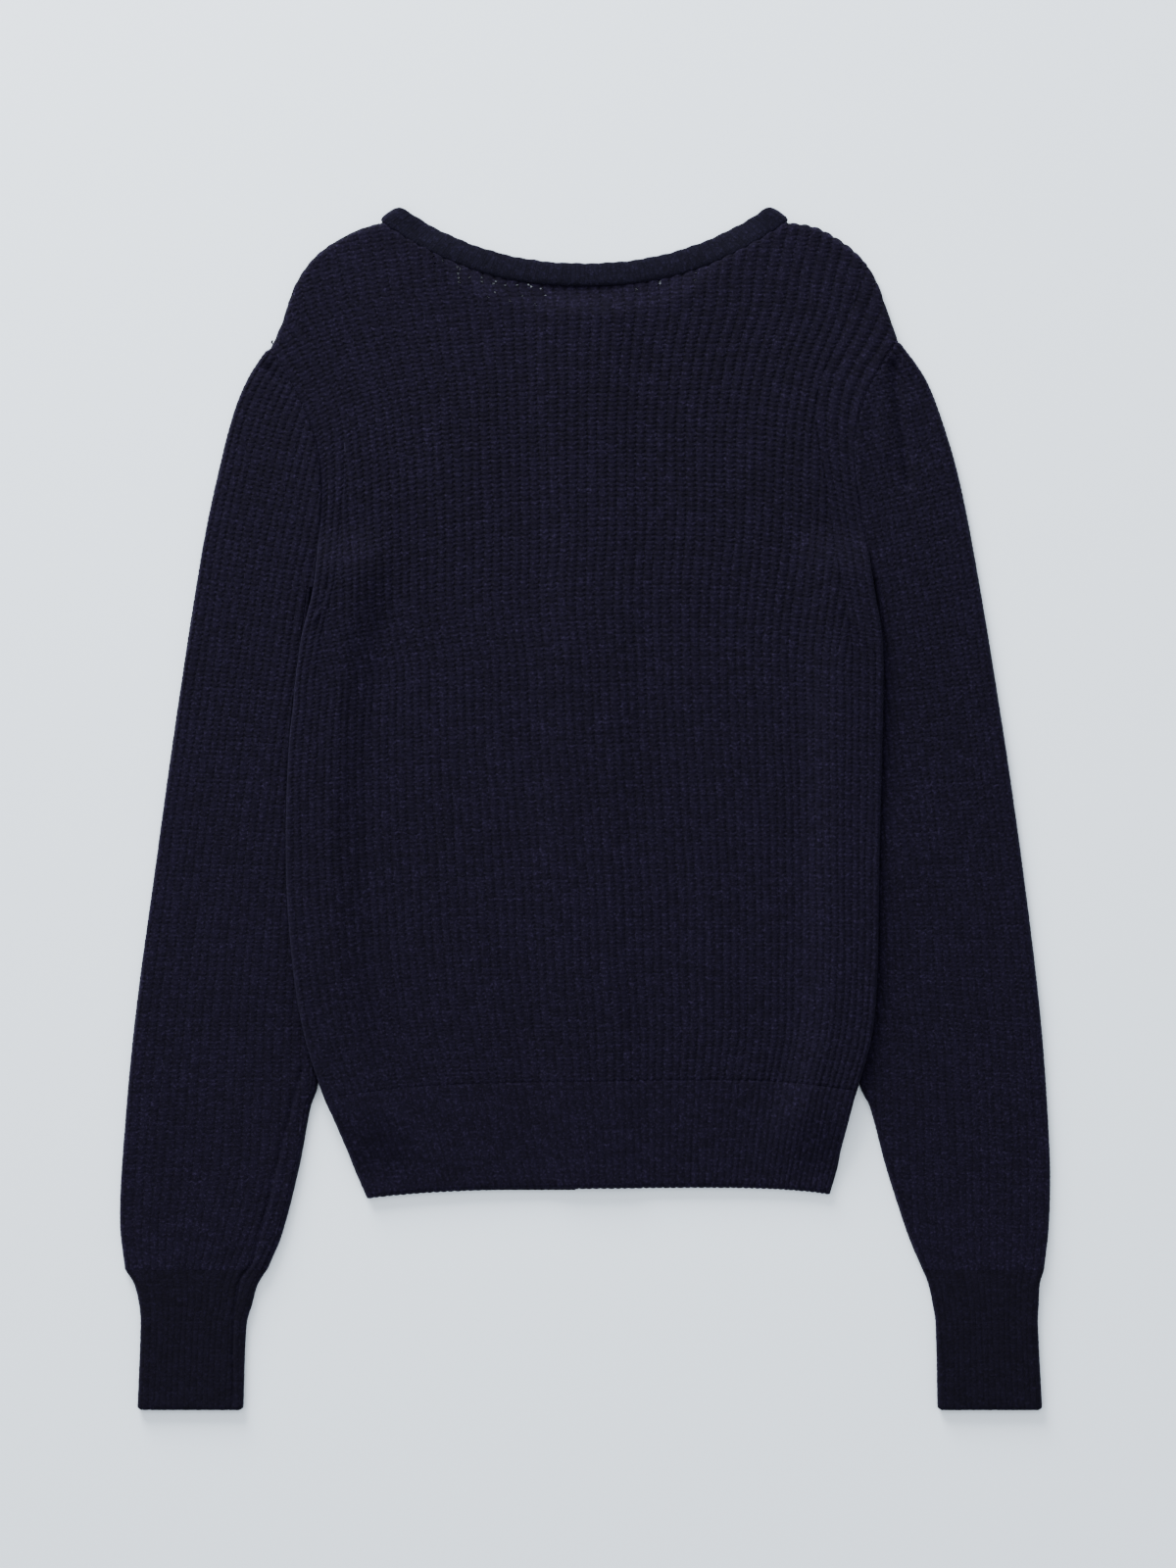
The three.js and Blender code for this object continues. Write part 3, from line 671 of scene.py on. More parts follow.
def crease(p):
    """Height that the creases add at each place."""
    total = np.zeros(p.shape)
    for width, height, *line in CREASES:
        knots = [complex(*knot) for knot in line]
        reach = CREASE_REACH * width
        near = np.full(p.shape, np.inf)
        some = p.real > min(k.real for k in knots) - reach
        some = some & (p.real < max(k.real for k in knots) + reach)
        for a, b in zip(knots, knots[1:]):
            part = (p[some] - a) / (b - a)
            off = part - np.clip(part.real, 0, 1)
            near[some] = np.minimum(near[some], np.abs(off * (b - a)))
        total += height * np.exp(-((near / width) ** 2))
    return total


print(len(CREASES), "creases")

# %% [markdown]
# ## Back and hem
#
# The hem is a piece of its own, linked to the back stitch by stitch, because it is drawn in and
# its rows run level. Every edge rolls down, so that two pieces meet in a groove. Just below the
# neckband some stitches are stretched right open, and those faces are taken out of the mesh.

# %% Back and hem
EDGE_ROLL = 3.0  # how far a side edge rolls down
SEAM_ROLL = 1.1  # how far a sewn edge sinks into its seam
FLAT_ROLL = 0.8  # the same where the sleeve is level with the body
LINKED_ROLL = 0.3  # the same where the hem is linked on
LINKED_LAP = 1.0  # how far the hem reaches under the back there
HEAD_ROLLS = 3  # how many times as far a piece rolls at its top edge
THIN = 1.0  # how much thinner stretched cloth is
BACK_RISE, HEM_RISE, HEM_OPENING = 0.75, 0.45, 0.15
SLEEVE_LEVEL = (185, 225)  # where the sleeve comes up level with the body
PULL = {"within": (12, 45), "above": (60, 160)}  # where an armhole draws the ribs tight
PULLED = {"rise": 0.3, "opening": -0.15}
STEADY = 2  # distance from a side within which cords don't wander


def pull(distance, height, within, above):
    """From 1 near an edge to 0 away from it and below it."""
    return (1 - smooth_step(distance, *within)) * smooth_step(height, *above)


def back_face(p, ribs, courses, sunk, rise, opening):
    stretched = neck_sink(p) / NECK_SINK
    z = back_bottom(p) + WALL - THIN * stretched - sunk
    return z + relief(ribs, courses, rise, opening) + swell(p) + crease(p)


def back_layout(ribs, courses):
    last = last_courses(ribs[0])
    kept = np.minimum(courses, last)
    p, rib_at = body_place(ribs, kept)
    side, foot, head = from_edges(p)
    level = smooth_step(p.imag, *SLEEVE_LEVEL)
    edge = mix(rolled(side, EDGE_ROLL), rolled(side, FLAT_ROLL), level)
    rolls = [edge, rolled(foot, LINKED_ROLL), rolled(head, HEAD_ROLLS * SEAM_ROLL)]
    sunk = np.maximum.reduce(rolls)
    drawn = pull(side, p.imag, **PULL)
    opening = opening_at(p.imag) * (1 + PULLED["opening"] * drawn)
    rise = BACK_RISE * (1 + PULLED["rise"] * drawn)
    x = p.real + wander(rib_at, courses, 1) * (side > STEADY)
    return x, p.imag, back_face(p, rib_at, courses, sunk, rise, opening), kept, opening


def hem_layout(ribs, courses):
    share, v = rib_share(ribs), courses / HEM_COURSES
    p = mix(hem_edge(share), hem_seam(share) + 1j * (SEAM_GAP + LINKED_LAP), v)
    p = p + row_shift(p.imag) * (1 - (2 * share - 1) ** 2)
    p = p - 0.5 * SCALLOP * 1j * cord(ribs) * (courses == 0)
    side, foot, head = from_edges(p)
    edge = rolled(np.minimum(side, foot), EDGE_ROLL)
    sunk = np.maximum(edge, rolled(head, HEAD_ROLLS * LINKED_ROLL))
    x = p.real + wander(ribs, courses, 2) * (side > STEADY)
    z = back_face(p, ribs, courses, sunk, HEM_RISE, HEM_OPENING)
    return x, p.imag, z, courses, HEM_OPENING


STRETCHES = ((-92, -22, 0.36), (30, 84, 0.16))  # from x, to x and how many are open there
STRETCH_BAND = (1.6, 20)  # how far below the neckband they lie
STRETCH_FADE = 6.0  # how soon they become fewer there
CLEAR_OF_FRONT = 3  # how far above the front's neck edge they stay
GROOVE_HALF = 0.2  # half a groove's width, in ribs
holes = np.random.default_rng(11)


def open_stitches(ribs, courses, x, y, z):
    """Stitches so stretched that the table shows through."""
    t = np.clip((x - NECK_MIDDLE) / NECK_LINES["half"][BACK_SEAM], -1, 1)
    below = neck_point(BACK_SEAM, t).imag - y
    past_front = y - neck_point(FRONT_EDGE, t).imag
    in_groove = np.abs(np.mod(ribs + 0.5, 1) - 0.5) < GROOVE_HALF
    near = (below > STRETCH_BAND[0]) & (below < STRETCH_BAND[1]) & (past_front > CLEAR_OF_FRONT)
    often = sum(share * ((x > low) & (x < high)) for low, high, share in STRETCHES)
    chance = often * np.exp(-below / STRETCH_FADE)
    return near & in_groove & (holes.random(x.shape) < chance)


back = knit("back_knit", BODY_RIBS, BODY_COURSES + TOP_COURSES, back_layout, drop=open_stitches)
hem_back = knit("hem_back_knit", BODY_RIBS, HEM_COURSES, hem_layout)

# %% [markdown]
# ## Fronts
#
# The fronts have the back's shape, a lower neck and an opening down the middle. Their right side
# faces the table, so their ribs point down and stop in one plane, where they rest.

# %% Fronts
FRONT_RIBS, FRONT_OPENING = 31, 0.8


def front_line(side, low, high):
    """The edge of a front beside the front bands."""
    offset = (BAND_HALF_WIDTH + SEAM_GAP) * SIGN[side]

    def value(v):
        y = mix(low, high, v)
        return body_middle(y) + offset + 1j * y

    return value


def front_head(side):
    """Shoulder and neck edge of a front, from left to right."""
    end = (BAND_HALF_WIDTH + SEAM_GAP) / NECK_LINES["half"][FRONT_SEAM]

    def value(u):
        s = np.asarray(u, float) if side == "left" else 1 - np.asarray(u, float)
        share = 2 * SHOULDER_SHARE
        on_neck = np.clip((s - share) / (1 - share), 0, 1)
        neck = neck_point(FRONT_SEAM, SIGN[side] * mix(1, end, on_neck)) - 1j * SEAM_GAP
        return np.where(s < share, shoulder[side](np.clip(s / share, 0, 1)), neck)

    return value


def front_shape(side, foot_line, low, high, head_line, heights):
    inner = front_line(side, low, high)
    outer = side_line(side, *heights)
    left, right = (outer, inner) if side == "left" else (inner, outer)
    return patch(left, right, foot_line, head_line)


def half_line(line, side):
    """The half of a line across the body that belongs to one front."""
    start, end = (0.0, 0.5) if side == "left" else (0.5, 1.0)
    return lambda u: line(mix(start, end, u))


def front_layout(shape, count, length, foot_roll, opening):
    def layout(ribs, courses):
        u, v = ribs / count, courses / length
        p = shape(u, v)
        side, foot, head = from_edges(p)
        rolls = [rolled(side, EDGE_ROLL), rolled(foot, foot_roll), rolled(head, SEAM_ROLL)]
        base = front_top(p) - WALL
        crest = (1 - CORD_MEAN) * RIB_RISE + (1 - STITCH_MEAN) * STITCH_RISE * opening
        z = base + np.maximum.reduce(rolls) + crest - relief(ribs, courses, RIB_RISE, opening)
        return p.real, p.imag, z, courses, opening

    return layout


def front(name, shape, courses, foot_roll, opening):
    layout = front_layout(shape, FRONT_RIBS, courses, foot_roll, opening)
    return knit(name, FRONT_RIBS, courses, layout, facing=-1)


fronts, front_hems = {}, {}
for side in SIDES:
    top = neck_point(FRONT_SEAM, NECK_START).imag
    foot = HEM_SEAM[side] + HEM_SEAM_ARCH
    seam_line = half_line(arched_line(HEM_SEAM, HEM_SEAM_ARCH), side)
    shape = front_shape(side, seam_line, foot, top, front_head(side), (HEM_SEAM, SHOULDER_TIP))
    fronts[side] = front(f"front_{side}_knit", shape, BODY_COURSES, SEAM_ROLL, FRONT_OPENING)
    low = HEM_FOOT[side] + HEM_EDGE_ARCH
    seams = {s: y - SEAM_GAP / 2 for s, y in HEM_SEAM.items()}
    lines = half_line(hem_edge, side), half_line(hem_seam, side)
    shape = front_shape(side, lines[0], low, foot - SEAM_GAP, lines[1], (HEM_FOOT, seams))
    name = f"hem_front_{side}_knit"
    front_hems[side] = front(name, shape, HEM_COURSES, EDGE_ROLL, HEM_OPENING)

# %% [markdown]
# ## Sleeves and cuffs
#
# A sleeve is a tube pressed flat: two faces joined by a fold at each edge. Ribs are counted from
# the outer edge. They keep their pitch and end where they reach the inner edge or the armhole.
# Rows cross the sleeve squarely, so they turn a little as it bends away from the body.

# %% Sleeves and cuffs
SLEEVE_COURSES, CUFF_COURSES = 193, 30
SLEEVE_TUBE, CUFF_TUBE = (23, 3), (16, 1.5)  # ribs on each face and in each fold
TUCKED = LAID / 2 + 0.8  # how far a sleeve's head reaches under the body
TUBE_ROUNDS = 5  # in which the ends of a row are found
THINNEST = 0.1  # width below which a row is a point
LEAST_RADIUS = 0.6
FOLD_CALM = 0.5  # how much flatter the cords in a fold are
LIFTED = 0.2  # how far stitches stand above the tube
OUTER_CALM = 8  # how much the outer edge is spared
SLEEVE_PULL = {"within": (10, 34), "above": (-60, 60)}
SLEEVE_PULLED = {"rise": 1.4, "opening": -0.2}
HEAD_LIFT = 1.3  # how much the body raises a sleeve's head
LIFT = {"within": (2, 15), "above": (10, 80)}

SLEEVE_LINES = table("course y", (0, -282), (40, -168), (95, -12), (140, 120), (193, 286))
ROW_TURNS = table(  # how far a row rises for each mm outwards
    "y left right",
    (-282, 0.0, 0.0), (-230, -0.03, -0.09), (-130, 0.0, -0.06), (-40, 0.03, 0.04),
    (60, 0.06, 0.11), (147, 0.15, 0.2), (225, 0.25, 0.29), (300, 0.28, 0.3),
)
SLEEVE_PITCH = table(  # mm from rib to rib
    "y left right",
    (-282, 4.3, 4.3), (-255, 5.2, 4.7), (-219, 5.75, 4.9), (-130, 5.5, 4.8), (0, 5.0, 4.6),
    (300, 5.0, 4.5),
)
SLEEVE_OPENINGS = table(
    "y open",
    (-282, 0.1), (-235, 0.24), (-130, 0.36), (-15, 0.4), (80, 0.58), (160, 0.64), (250, 0.66),
)
sleeve_height = column(SLEEVE_LINES, "y", along="course")
sleeve_opening = column(SLEEVE_OPENINGS, "open")


def tube_section(ribs, pitch, width, face, fold):
    """Distance from the outer edge, and the angle that the surface faces."""
    radius = LAID / 2
    run = np.maximum(width - 2 * radius, 0)
    on_top = np.minimum(ribs * pitch, run)
    under = np.minimum((2 * face + fold - ribs) * pitch, run)
    turned = np.clip((ribs - face) / fold, 0, 1) + np.clip((ribs - 2 * face - fold) / fold, 0, 1)
    across = np.where(ribs <= face, on_top, np.where(ribs < face + fold, run, under))
    across = np.where(ribs > 2 * face + fold, 0, across)
    return radius + across, np.pi / 2 - np.pi * turned


def tube_layout(side, outer, inner, turn, height, tube, rise, open_at, pitch_at, rolls, top=None):
    """Layout of a flat tube. Above top, its underarm, a sleeve lies beside the body."""
    out = SIGN[side]
    face, fold = tube

    def end_of_row(edge, level, slope, middle):
        y = level + 0.0
        for _ in range(TUBE_ROUNDS):
            y = level + slope * (np.abs(edge(y)) - middle)
        return np.abs(edge(y)), y

    def layout(ribs, courses):
        level = height(courses[:, :1])
        slope = turn(level)
        middle = (np.abs(outer(level)) + np.abs(inner(level))) / 2
        far, far_y = end_of_row(outer, level, slope, middle)
        near, near_y = end_of_row(inner, level, slope, middle)
        closed = far <= near + THINNEST / 2
        near, near_y = np.where(closed, far, near), np.where(closed, far_y, near_y)
        width = np.hypot(far - near, far_y - near_y)
        run = np.maximum(width - LAID, 0.01)
        pitch = np.maximum(pitch_at(level), run / face)
        across, angle = tube_section(ribs, pitch, width, face, fold)
        inside = np.minimum(across + OUTER_CALM, width - across)
        drawn = pull(inside, level, **SLEEVE_PULL) * (top is not None)
        opening = open_at(level) * (1 + SLEEVE_PULLED["opening"] * drawn)
        ribbed = rise * (1 + SLEEVE_PULLED["rise"] * drawn)
        ribbed = ribbed * (1 - FOLD_CALM * np.abs(np.cos(angle)))
        bump = relief(ribs, courses, ribbed, opening) + LIFTED
        foot, head = np.abs(level - level[0]), np.abs(level - level[-1])
        sunk = np.maximum(rolled(foot, rolls[0]), rolled(head, rolls[1]))
        if top is not None:
            free = (near_y > top) * (width - across - LAID / 2)
            sunk = np.maximum(sunk, np.where(near_y > top, rolled(free, FLAT_ROLL), 0))
        radius = np.minimum(LAID / 2, np.maximum(width / 2, LEAST_RADIUS)) - sunk + bump
        t = (across + radius * np.cos(angle)) / np.maximum(width, THINNEST)
        t = np.where(width > THINNEST, t, 0.5)
        x, y = mix(far, near, t), mix(far_y, near_y, t)
        lift = 0
        if top is not None:
            lift = HEAD_LIFT * pull(width - across, y - top, **LIFT)
        p = out * x + 1j * y
        up = np.sin(angle)
        z = LAID / 2 + radius * up + np.clip(up, 0, 1) * (swell(p, 2.0) + crease(p) + lift)
        x = out * x + wander(ribs, courses, 3) * np.clip(up, 0, 1)
        return x, y, z, courses, opening

    return layout


def sleeve(side):
    """A sleeve, open along the armhole."""
    underarm = UNDERARM[side]
    tucked = column(SLEEVE_INNER, side)

    def inner(y):
        armhole = body_side[side](y) - SIGN[side] * TUCKED
        return np.where(y > underarm, armhole, tucked(y))

    def above_underarm(ribs, courses, x, y, z):
        in_fold = (ribs > SLEEVE_TUBE[0]) & (ribs < sum(SLEEVE_TUBE))
        return in_fold & (y > underarm + 2)

    layout = tube_layout(
        side,
        outer=column(SLEEVE_OUTER, side),
        inner=inner,
        turn=column(ROW_TURNS, side),
        height=sleeve_height,
        tube=SLEEVE_TUBE,
        rise=0.25,
        open_at=sleeve_opening,
        pitch_at=column(SLEEVE_PITCH, side),
        rolls=(0.01, 0.6),
        top=underarm,
    )
    name, ribs = f"sleeve_{side}_knit", 2 * sum(SLEEVE_TUBE)
    return knit(name, ribs, SLEEVE_COURSES, layout, facing=-SIGN[side], drop=above_underarm)


def cuff(side):
    layout = tube_layout(
        side,
        outer=column(CUFF_OUTER, side),
        inner=column(CUFF_INNER, side),
        turn=lambda level: 0 * level,
        height=lambda courses: mix(CUFF_FOOT, SLEEVE_FOOT, courses / CUFF_COURSES),
        tube=CUFF_TUBE,
        rise=0.16,
        open_at=lambda level: 0.12 + 0 * level,
        pitch_at=lambda level: 3.0 + 0 * level,
        rolls=(2.2, 0.01),
    )
    ribs = round(2 * sum(CUFF_TUBE))
    return knit(f"cuff_{side}_knit", ribs, CUFF_COURSES, layout, facing=-SIGN[side])


sleeves, cuffs = {}, {}
for side in SIDES:
    sleeves[side] = sleeve(side)
    cuffs[side] = cuff(side)

# %% [markdown]
# ## Neckband
#
# The neckband is one narrow strip of finer knit, folded double so that its free edge is round.
# It runs up one front, turns over at the shoulder, crosses the back and comes down again. Its
# own ribs run across it.

# %% Neckband
NECKBAND_RIBS, NECKBAND_COURSES = 190, 12
NECKBAND_WALL, NECKBAND_RISE = 3.6, 0.3
BAND_OPENING = 0.2
NECKBAND_POWER = 0.8  # its section: 1 is round, 0 is a box
NECKBAND_REACH = (-0.06, 1.02)  # from under its seam to its free edge, in widths
FOLD_SHARE, FRONT_SHARE = 0.03, 0.25  # parts of the strip in each turn and down each front
NECK_TURN = 0.995  # where it turns over, in halves of the neck
ROUNDED_TIP, TIP_SHARE = 0.2, 0.016  # how much narrower it is there, and over which part
WAVES = ((0.014, 1.9), (0.01, 0.7))  # unevenness of its free edge


def squared(wave, power):
    """A wave that stays near 1 and -1 for longer."""
    return np.sign(wave) * np.abs(wave) ** power


def neckband_frame(q):
    """Seam, free edge and thickness of the strip at a share q of its length."""
    mirrored = np.minimum(q, 1 - q)
    sign = np.where(q < 0.5, -1, 1)
    on_front = np.clip(mirrored / FRONT_SHARE, 0, 1)
    turn = np.clip((mirrored - FRONT_SHARE) / FOLD_SHARE, 0, 1)
    back_start = FRONT_SHARE + FOLD_SHARE
    on_back = np.clip((mirrored - back_start) / (0.5 - back_start), 0, 1)
    front = mirrored < FRONT_SHARE
    half = np.where(front, mix(NECK_START, NECK_TURN, on_front), mix(NECK_TURN, 0, on_back))
    t = sign * half
    pairs = (FRONT_SEAM, BACK_SEAM), (FRONT_EDGE, BACK_EDGE)
    seam, edge = (np.where(front, neck_point(a, t), neck_point(b, t)) for a, b in pairs)
    out = 1j * (edge - seam) / np.abs(edge - seam)
    out = out * np.sign(out.real * sign)
    sine, cosine = np.sin(np.pi * turn), np.cos(np.pi * turn)
    thickness = NECKBAND_WALL * np.stack([out.real * sine, out.imag * sine, -cosine])
    fold_z = WALL + LAYER_GAP * turn
    seam_z, edge_z = (np.where(turn >= 1, back_bottom(p), fold_z) for p in (seam, edge))
    return seam, seam_z, edge, edge_z, thickness


def neckband_layout(ribs, courses):
    """Along the strip with the ribs, round its section with the courses."""
    q = ribs / NECKBAND_RIBS
    seam, seam_z, edge, edge_z, thickness = neckband_frame(q)
    around = 2 * np.pi * courses / NECKBAND_COURSES
    across = 0.5 - 0.5 * squared(np.cos(around), NECKBAND_POWER)
    depth = 0.5 + 0.5 * squared(np.sin(around), NECKBAND_POWER)
    outside = np.clip(np.sin(around), 0, 1)
    depth = depth + NECKBAND_RISE / NECKBAND_WALL * (cord(ribs) - CORD_MEAN) * outside
    from_tip = np.abs(np.minimum(q, 1 - q) - FRONT_SHARE - FOLD_SHARE / 2)
    rounded = ROUNDED_TIP * np.clip(1 - from_tip / TIP_SHARE, 0, 1) ** 2
    uneven = sum(share * np.sin(pace * ribs) for share, pace in WAVES)
    inner, outer = NECKBAND_REACH
    p = mix(seam, edge, mix(inner, outer - rounded + uneven, across))
    x = p.real + thickness[0] * depth
    y = p.imag + thickness[1] * depth
    z = mix(seam_z, edge_z, across) + thickness[2] * depth
    return x, y, z, courses, BAND_OPENING


neckband = knit("neckband_knit", NECKBAND_RIBS, NECKBAND_COURSES, neckband_layout, facing=-1)

# %% [markdown]
# ## Front bands and buttons
#
# The button band lies on the buttonhole band, and the buttons come through it to the outside,
# which here is underneath. Each button presses a shallow hollow into the band.

# %% Front bands
BAND_RIBS, BAND_COURSES = 12, 180  # all the way round a band and along it
BAND_POWER = 0.35  # how square a band's section is
BAND_GROOVES = 3  # cords in half its lower face
BAND_GROOVE = 0.4  # how deep they are parted
UNDERSIDE = (0.1, 0.5)  # where its lower face ends, in thicknesses
HOLLOW_RIM = (0.4, 2.4)  # where the hollow for a button ends
BUTTON_RADIUS, BUTTON_THICKNESS = 7.0, 1.4
BUTTON_HEIGHTS = np.linspace(-222, 289, 7)
BUTTONS = body_middle(BUTTON_HEIGHTS) + 1j * BUTTON_HEIGHTS


def band_layout(bottom, thickness):
    """A flat closed strip with round edges and a ribbed lower face."""

    def layout(ribs, courses):
        y = mix(BAND_FOOT, NECK_LINES["low"][FRONT_EDGE], courses / BAND_COURSES)
        around = 2 * np.pi * ribs / BAND_RIBS
        across = -squared(np.cos(around), BAND_POWER)
        height = 0.5 + 0.5 * squared(np.sin(around), BAND_POWER)
        p = body_middle(y) + BAND_HALF_WIDTH * across + 1j * y
        under = 1 - smooth_step(height, *UNDERSIDE)
        groove = BAND_GROOVE * (1 - cord(BAND_GROOVES * across))
        z = bottom + thickness * height + groove * under
        if bottom == 0:
            nearest = np.min(np.abs(p[..., None] - BUTTONS), axis=-1) - BUTTON_RADIUS
            hollow = BUTTON_THICKNESS + LAYER_GAP
            press = hollow * (1 - smooth_step(nearest, *HOLLOW_RIM))
            z = mix(z, np.maximum(z, press), under)
        return p.real, p.imag, z, courses, BAND_OPENING

    return layout


lower = band_layout(0, BUTTONHOLE_BAND_WALL)
buttonhole_band = knit("buttonhole_band_knit", BAND_RIBS, BAND_COURSES, lower)
upper = band_layout(BUTTONHOLE_BAND_WALL + LAYER_GAP, BUTTON_BAND_WALL)
button_band = knit("button_band_knit", BAND_RIBS, BAND_COURSES, upper, per_course=1)

# %% [markdown]
# ## Buttons
#
# A moulded button is a disc with a rounded rim and a shallow dish, so its profile is spun round
# the middle. It lies face down, where nothing finer of it would be seen.

# %% Buttons
BUTTON_STEPS = 32  # facets round a button
BUTTON_PROFILE = table(
    "radius height",
    (0.0, 0.55), (3.6, 0.5), (4.6, 0.15), (5.4, 0.0), (6.2, 0.08), (6.8, 0.45), (7.0, 0.9),
    (6.6, 1.3), (5.5, 1.4), (0.0, 1.4),
)


def button(name, middle):
    bm = bmesh.new()
    profile = zip(BUTTON_PROFILE["radius"], BUTTON_PROFILE["height"])
    corners = [bm.verts.new((r * MM, 0, h * MM)) for r, h in profile]
    edges = [bm.edges.new(pair) for pair in zip(corners, corners[1:])]
    turn = {"axis": (0, 0, 1), "cent": (0, 0, 0), "angle": 2 * math.pi, "steps": BUTTON_STEPS}
    bmesh.ops.spin(bm, geom=corners + edges, use_merge=True, **turn)
    bmesh.ops.remove_doubles(bm, verts=bm.verts[:], dist=0.001 * MM)
    bmesh.ops.translate(bm, verts=bm.verts[:], vec=(middle.real * MM, middle.imag * MM, 0))
    bmesh.ops.recalc_face_normals(bm, faces=bm.faces[:])
    mesh = bpy.data.meshes.new(name)
    bm.to_mesh(mesh)
    bm.free()
    return add_piece(name, mesh)


buttons = [button(f"button_{i + 1}_disc", middle) for i, middle in enumerate(BUTTONS)]
print(len(buttons), "buttons", round(2 * BUTTON_RADIUS, 1), "mm across")

# %% [markdown]
# ## Wool
#
# Brushed lambswool yarn, knitted and steamed, has no gloss, only fine hairs that catch the light.
# The dye is uneven from fibre to fibre, so the navy holds specks of violet and pale grey, and no
# two stitches are quite the same. Each stitch hangs from its two sides, so the gaps between
# stitches bend with it. The shade in those gaps and in the grooves is painted into the colour: it
# is widest in the grooves and closes where the cloth is drawn in.

# %% Wool
WIDEST_OPENING = 1.6
FUZZ, MOTTLE, DRIFT = 620.0, 150.0, 9.0  # scale of fibre, yarn and dye
GRAIN_DETAIL = 3.0
YARN_BEND = 0.2  # how far uneven yarn moves the gaps
# The painted shade in the gaps between stitches: how sharp its edge is, and how wide it is.
GAP_SHARPNESS = 3.0
GAP_WIDTH = (0.75, 0.6)  # added in the groove, and on the crest
# How much painted shade darkens each rib's groove.
GROOVE_PAINTED_SHADE = 0.3
FLECK_RANGE, FLECK_SHARE = (0.52, 0.74), 0.6
TONE = (0.42, 0.3, 0.45, 0.32)  # the least, then what dye, stitch and yarn add
FUZZ_HEIGHT, YARN_DEPTH, BUMP = 0.7, 0.0008, 0.9
BRUSHED = {
    "Roughness": 0.95,
    "Specular IOR Level": 0.08,
    "Sheen Weight": 0.06,
    "Sheen Roughness": 0.5,
    "Sheen Tint": hex_colour("8F86C0"),
}


def node(tree, kind, links=(), **settings):
    """Adds a node with its inputs: {input: value or output socket}."""
    made = tree.nodes.new("ShaderNode" + kind)
    for key, value in settings.items():
        setattr(made, key, value)
    for key, value in dict(links).items():
        if isinstance(value, bpy.types.NodeSocket):
            tree.links.new(value, made.inputs[key])
        else:
            made.inputs[key].default_value = value
    return made


def wool(name, base, groove, fleck, gaps=1.0):
    """Navy wool whose stitches follow the piece's own UV map, with shade painted into its grooves
    and the gaps between stitches.
    """
    material, shader = new_material(name, BRUSHED)
    base, groove, fleck = (hex_colour(code) for code in (base, groove, fleck))
    tree = material.node_tree

    def calc(operation, a, b=0.0, c=0.0):
        return node(tree, "Math", {0: a, 1: b, 2: c}, operation=operation).outputs[0]

    def times(a, b, plus=0.0):
        return calc("MULTIPLY_ADD", a, b, plus)

    def noise(scale, roughness=0.6):
        settings = {"Vector": place, "Scale": scale, "Detail": GRAIN_DETAIL, "Roughness": roughness}
        return node(tree, "TexNoise", settings).outputs[0]

    def blend(factor, low, high):
        settings = {"Factor": factor, 6: low, 7: high}
        return node(tree, "Mix", settings, data_type="RGBA").outputs[2]

    place = node(tree, "TexCoord").outputs["Object"]
    fuzz = noise(FUZZ, 0.7)
    mottle, drift = noise(MOTTLE), noise(DRIFT)

    stitches = node(tree, "UVMap", uv_map="stitches").outputs[0]
    split = node(tree, "SeparateXYZ", {0: stitches})
    ribs = split.outputs[0]
    aside = calc("ABSOLUTE", times(calc("FRACT", ribs), 2.0, -1.0))
    bowl = times(aside, aside)
    courses = times(bowl, -STITCH_SAG, split.outputs[1])
    courses = calc("ADD", courses, times(mottle, YARN_BEND, -YARN_BEND / 2))
    between = calc("ABSOLUTE", calc("COSINE", times(courses, math.pi)))

    opened = node(tree, "Attribute", attribute_name="opening").outputs["Fac"]
    opened = times(opened, gaps / WIDEST_OPENING)
    # Painted shade: the colour darkens in the rib grooves and in the gaps between stitches, where
    # shade falls in the knit.
    gap = times(calc("POWER", between, GAP_SHARPNESS), times(bowl, *GAP_WIDTH))
    painted_shade = times(calc("POWER", aside, GAP_SHARPNESS), GROOVE_PAINTED_SHADE, times(gap, opened))
    light = node(tree, "Math", {0: 1.0, 1: painted_shade}, operation="SUBTRACT", use_clamp=True)

    each = node(tree, "CombineXYZ", {0: calc("FLOOR", ribs), 1: calc("FLOOR", courses)})
    each = {"Vector": each.outputs[0]}
    chance = node(tree, "TexWhiteNoise", each, noise_dimensions="2D").outputs[0]
    # The groove colour is the painted shade, blended in by the mask above.
    shade = blend(light.outputs[0], groove, base)
    low, high = FLECK_RANGE
    speck = node(tree, "MapRange", {0: fuzz, 1: low, 2: high}).outputs[0]
    shade = blend(times(speck, FLECK_SHARE), shade, fleck)
    tone = TONE[0]
    for part, share in zip((drift, chance, mottle), TONE[1:]):
        tone = times(part, share, tone)
    shade = node(tree, "HueSaturation", {"Value": tone, "Color": shade}).outputs[0]
    tree.links.new(shade, shader.inputs["Base Color"])

    yarn = times(fuzz, FUZZ_HEIGHT, light.outputs[0])
    settings = {"Height": yarn, "Distance": YARN_DEPTH, "Strength": BUMP}
    bump = node(tree, "Bump", settings)
    tree.links.new(bump.outputs[0], shader.inputs["Normal"])
    return material


# The second colour of each wool is the painted shade in its grooves and gaps.
rib_wool = wool("brushed_wool_rib", "0A0715", "010102", "262038")
cuff_wool = wool("brushed_wool_cuff", "080611", "020204", "181428")
band_wool = wool("fine_wool_knit", "0A0915", "040307", "1E1A30", gaps=0.5)
print("wools:", rib_wool.name, cuff_wool.name, band_wool.name)

# %% [markdown]
# ## Button plastic
#
# The buttons are cast polyester, polished in a tumbler: dark, smooth and softly glossy.

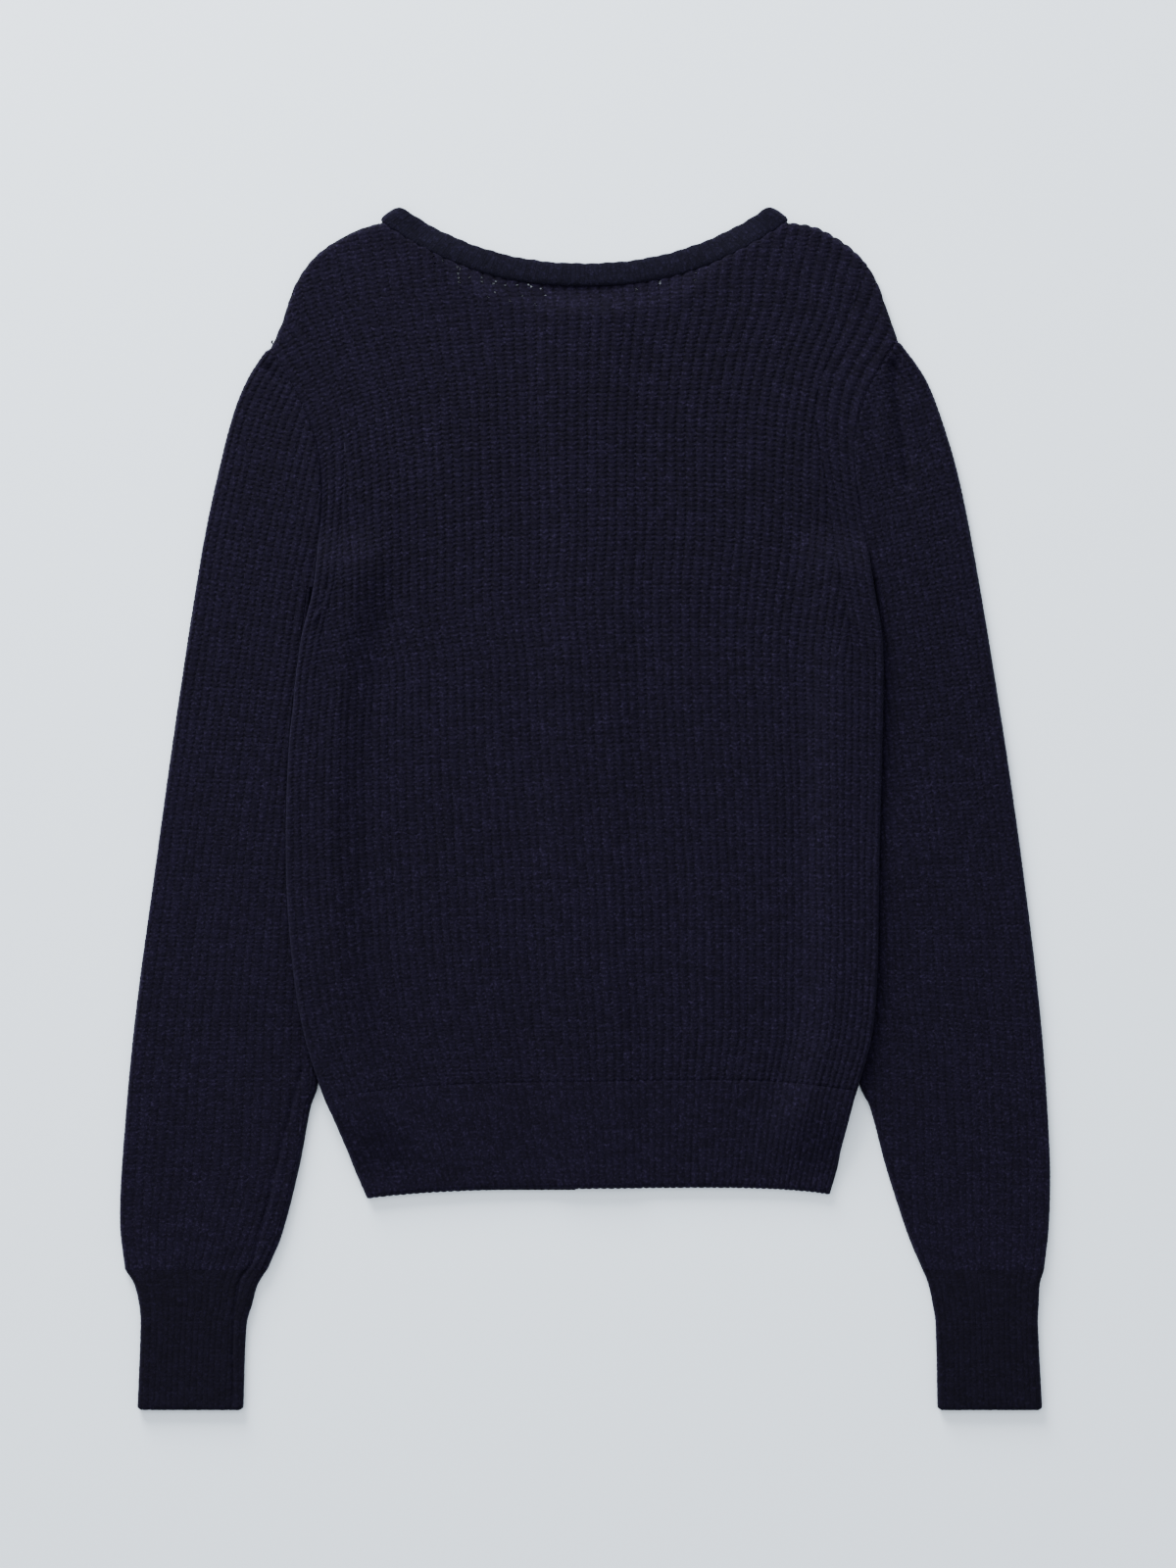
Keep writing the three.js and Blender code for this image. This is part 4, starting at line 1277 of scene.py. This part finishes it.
# %% Button plastic
CLOUDS = 180.0  # in the resin, per metre
resin, resin_shader = new_material("tumbled_polyester_resin", {"Roughness": 0.3, "IOR": 1.54})
tree = resin.node_tree
place = node(tree, "TexCoord").outputs["Object"]
cloud = node(tree, "TexNoise", {"Vector": place, "Scale": CLOUDS}).outputs[0]
tints = {"Factor": cloud, 6: hex_colour("12121B"), 7: hex_colour("1D1E2B")}
tint = node(tree, "Mix", tints, data_type="RGBA").outputs[2]
tree.links.new(tint, resin_shader.inputs["Base Color"])
print("button plastic:", resin.name)

# %% [markdown]
# ## What each piece is
#
# Each piece stands for one of the garment's solids, which is hidden, and takes its material.

# %% What each piece is
def finish_piece(piece, node_name, material):
    piece.data.materials.append(material)
    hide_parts(node_name)


def cloth(piece, node_name, slot, material, width, length, share, rests_on):
    """Finishes a knitted piece; its flat size in mm and how much of that is cloth are not used."""
    finish_piece(piece, node_name, material)


RIB, CUFF, BAND = ("wool_rib", rib_wool), ("wool_rib", cuff_wool), ("wool_band", band_wool)
cloth(back, "back", *RIB, 390, 535, 0.86, ["front_left", "front_right"])
cloth(hem_back, "hem_back", *RIB, 325, 66, 0.9, ["hem_front_left", "hem_front_right"])
for side in SIDES:
    cloth(fronts[side], f"front_{side}", *RIB, 185, 535, 0.85, ["table_top"])
    cloth(front_hems[side], f"hem_front_{side}", *RIB, 153, 66, 0.9, ["table_top"])
    cloth(sleeves[side], f"sleeve_{side}", *RIB, 220, 565, 0.8, ["table_top"])
    cloth(cuffs[side], f"cuff_{side}", *CUFF, 135, 86, 1.0, ["table_top"])
cloth(neckband, "neckband", *BAND, 525, 14, 1.0, ["back", "front_left", "front_right"])
cloth(buttonhole_band, "buttonhole_band", *BAND, 27, 531, 1.0, ["table_top"])
cloth(button_band, "button_band", *BAND, 27, 531, 1.0, ["buttonhole_band"])
for i, disc in enumerate(buttons):
    finish_piece(disc, f"button_{i + 1}", resin)
print("finished in", BAND[0], "and", RIB[0], "with", len(buttons), "buttons")
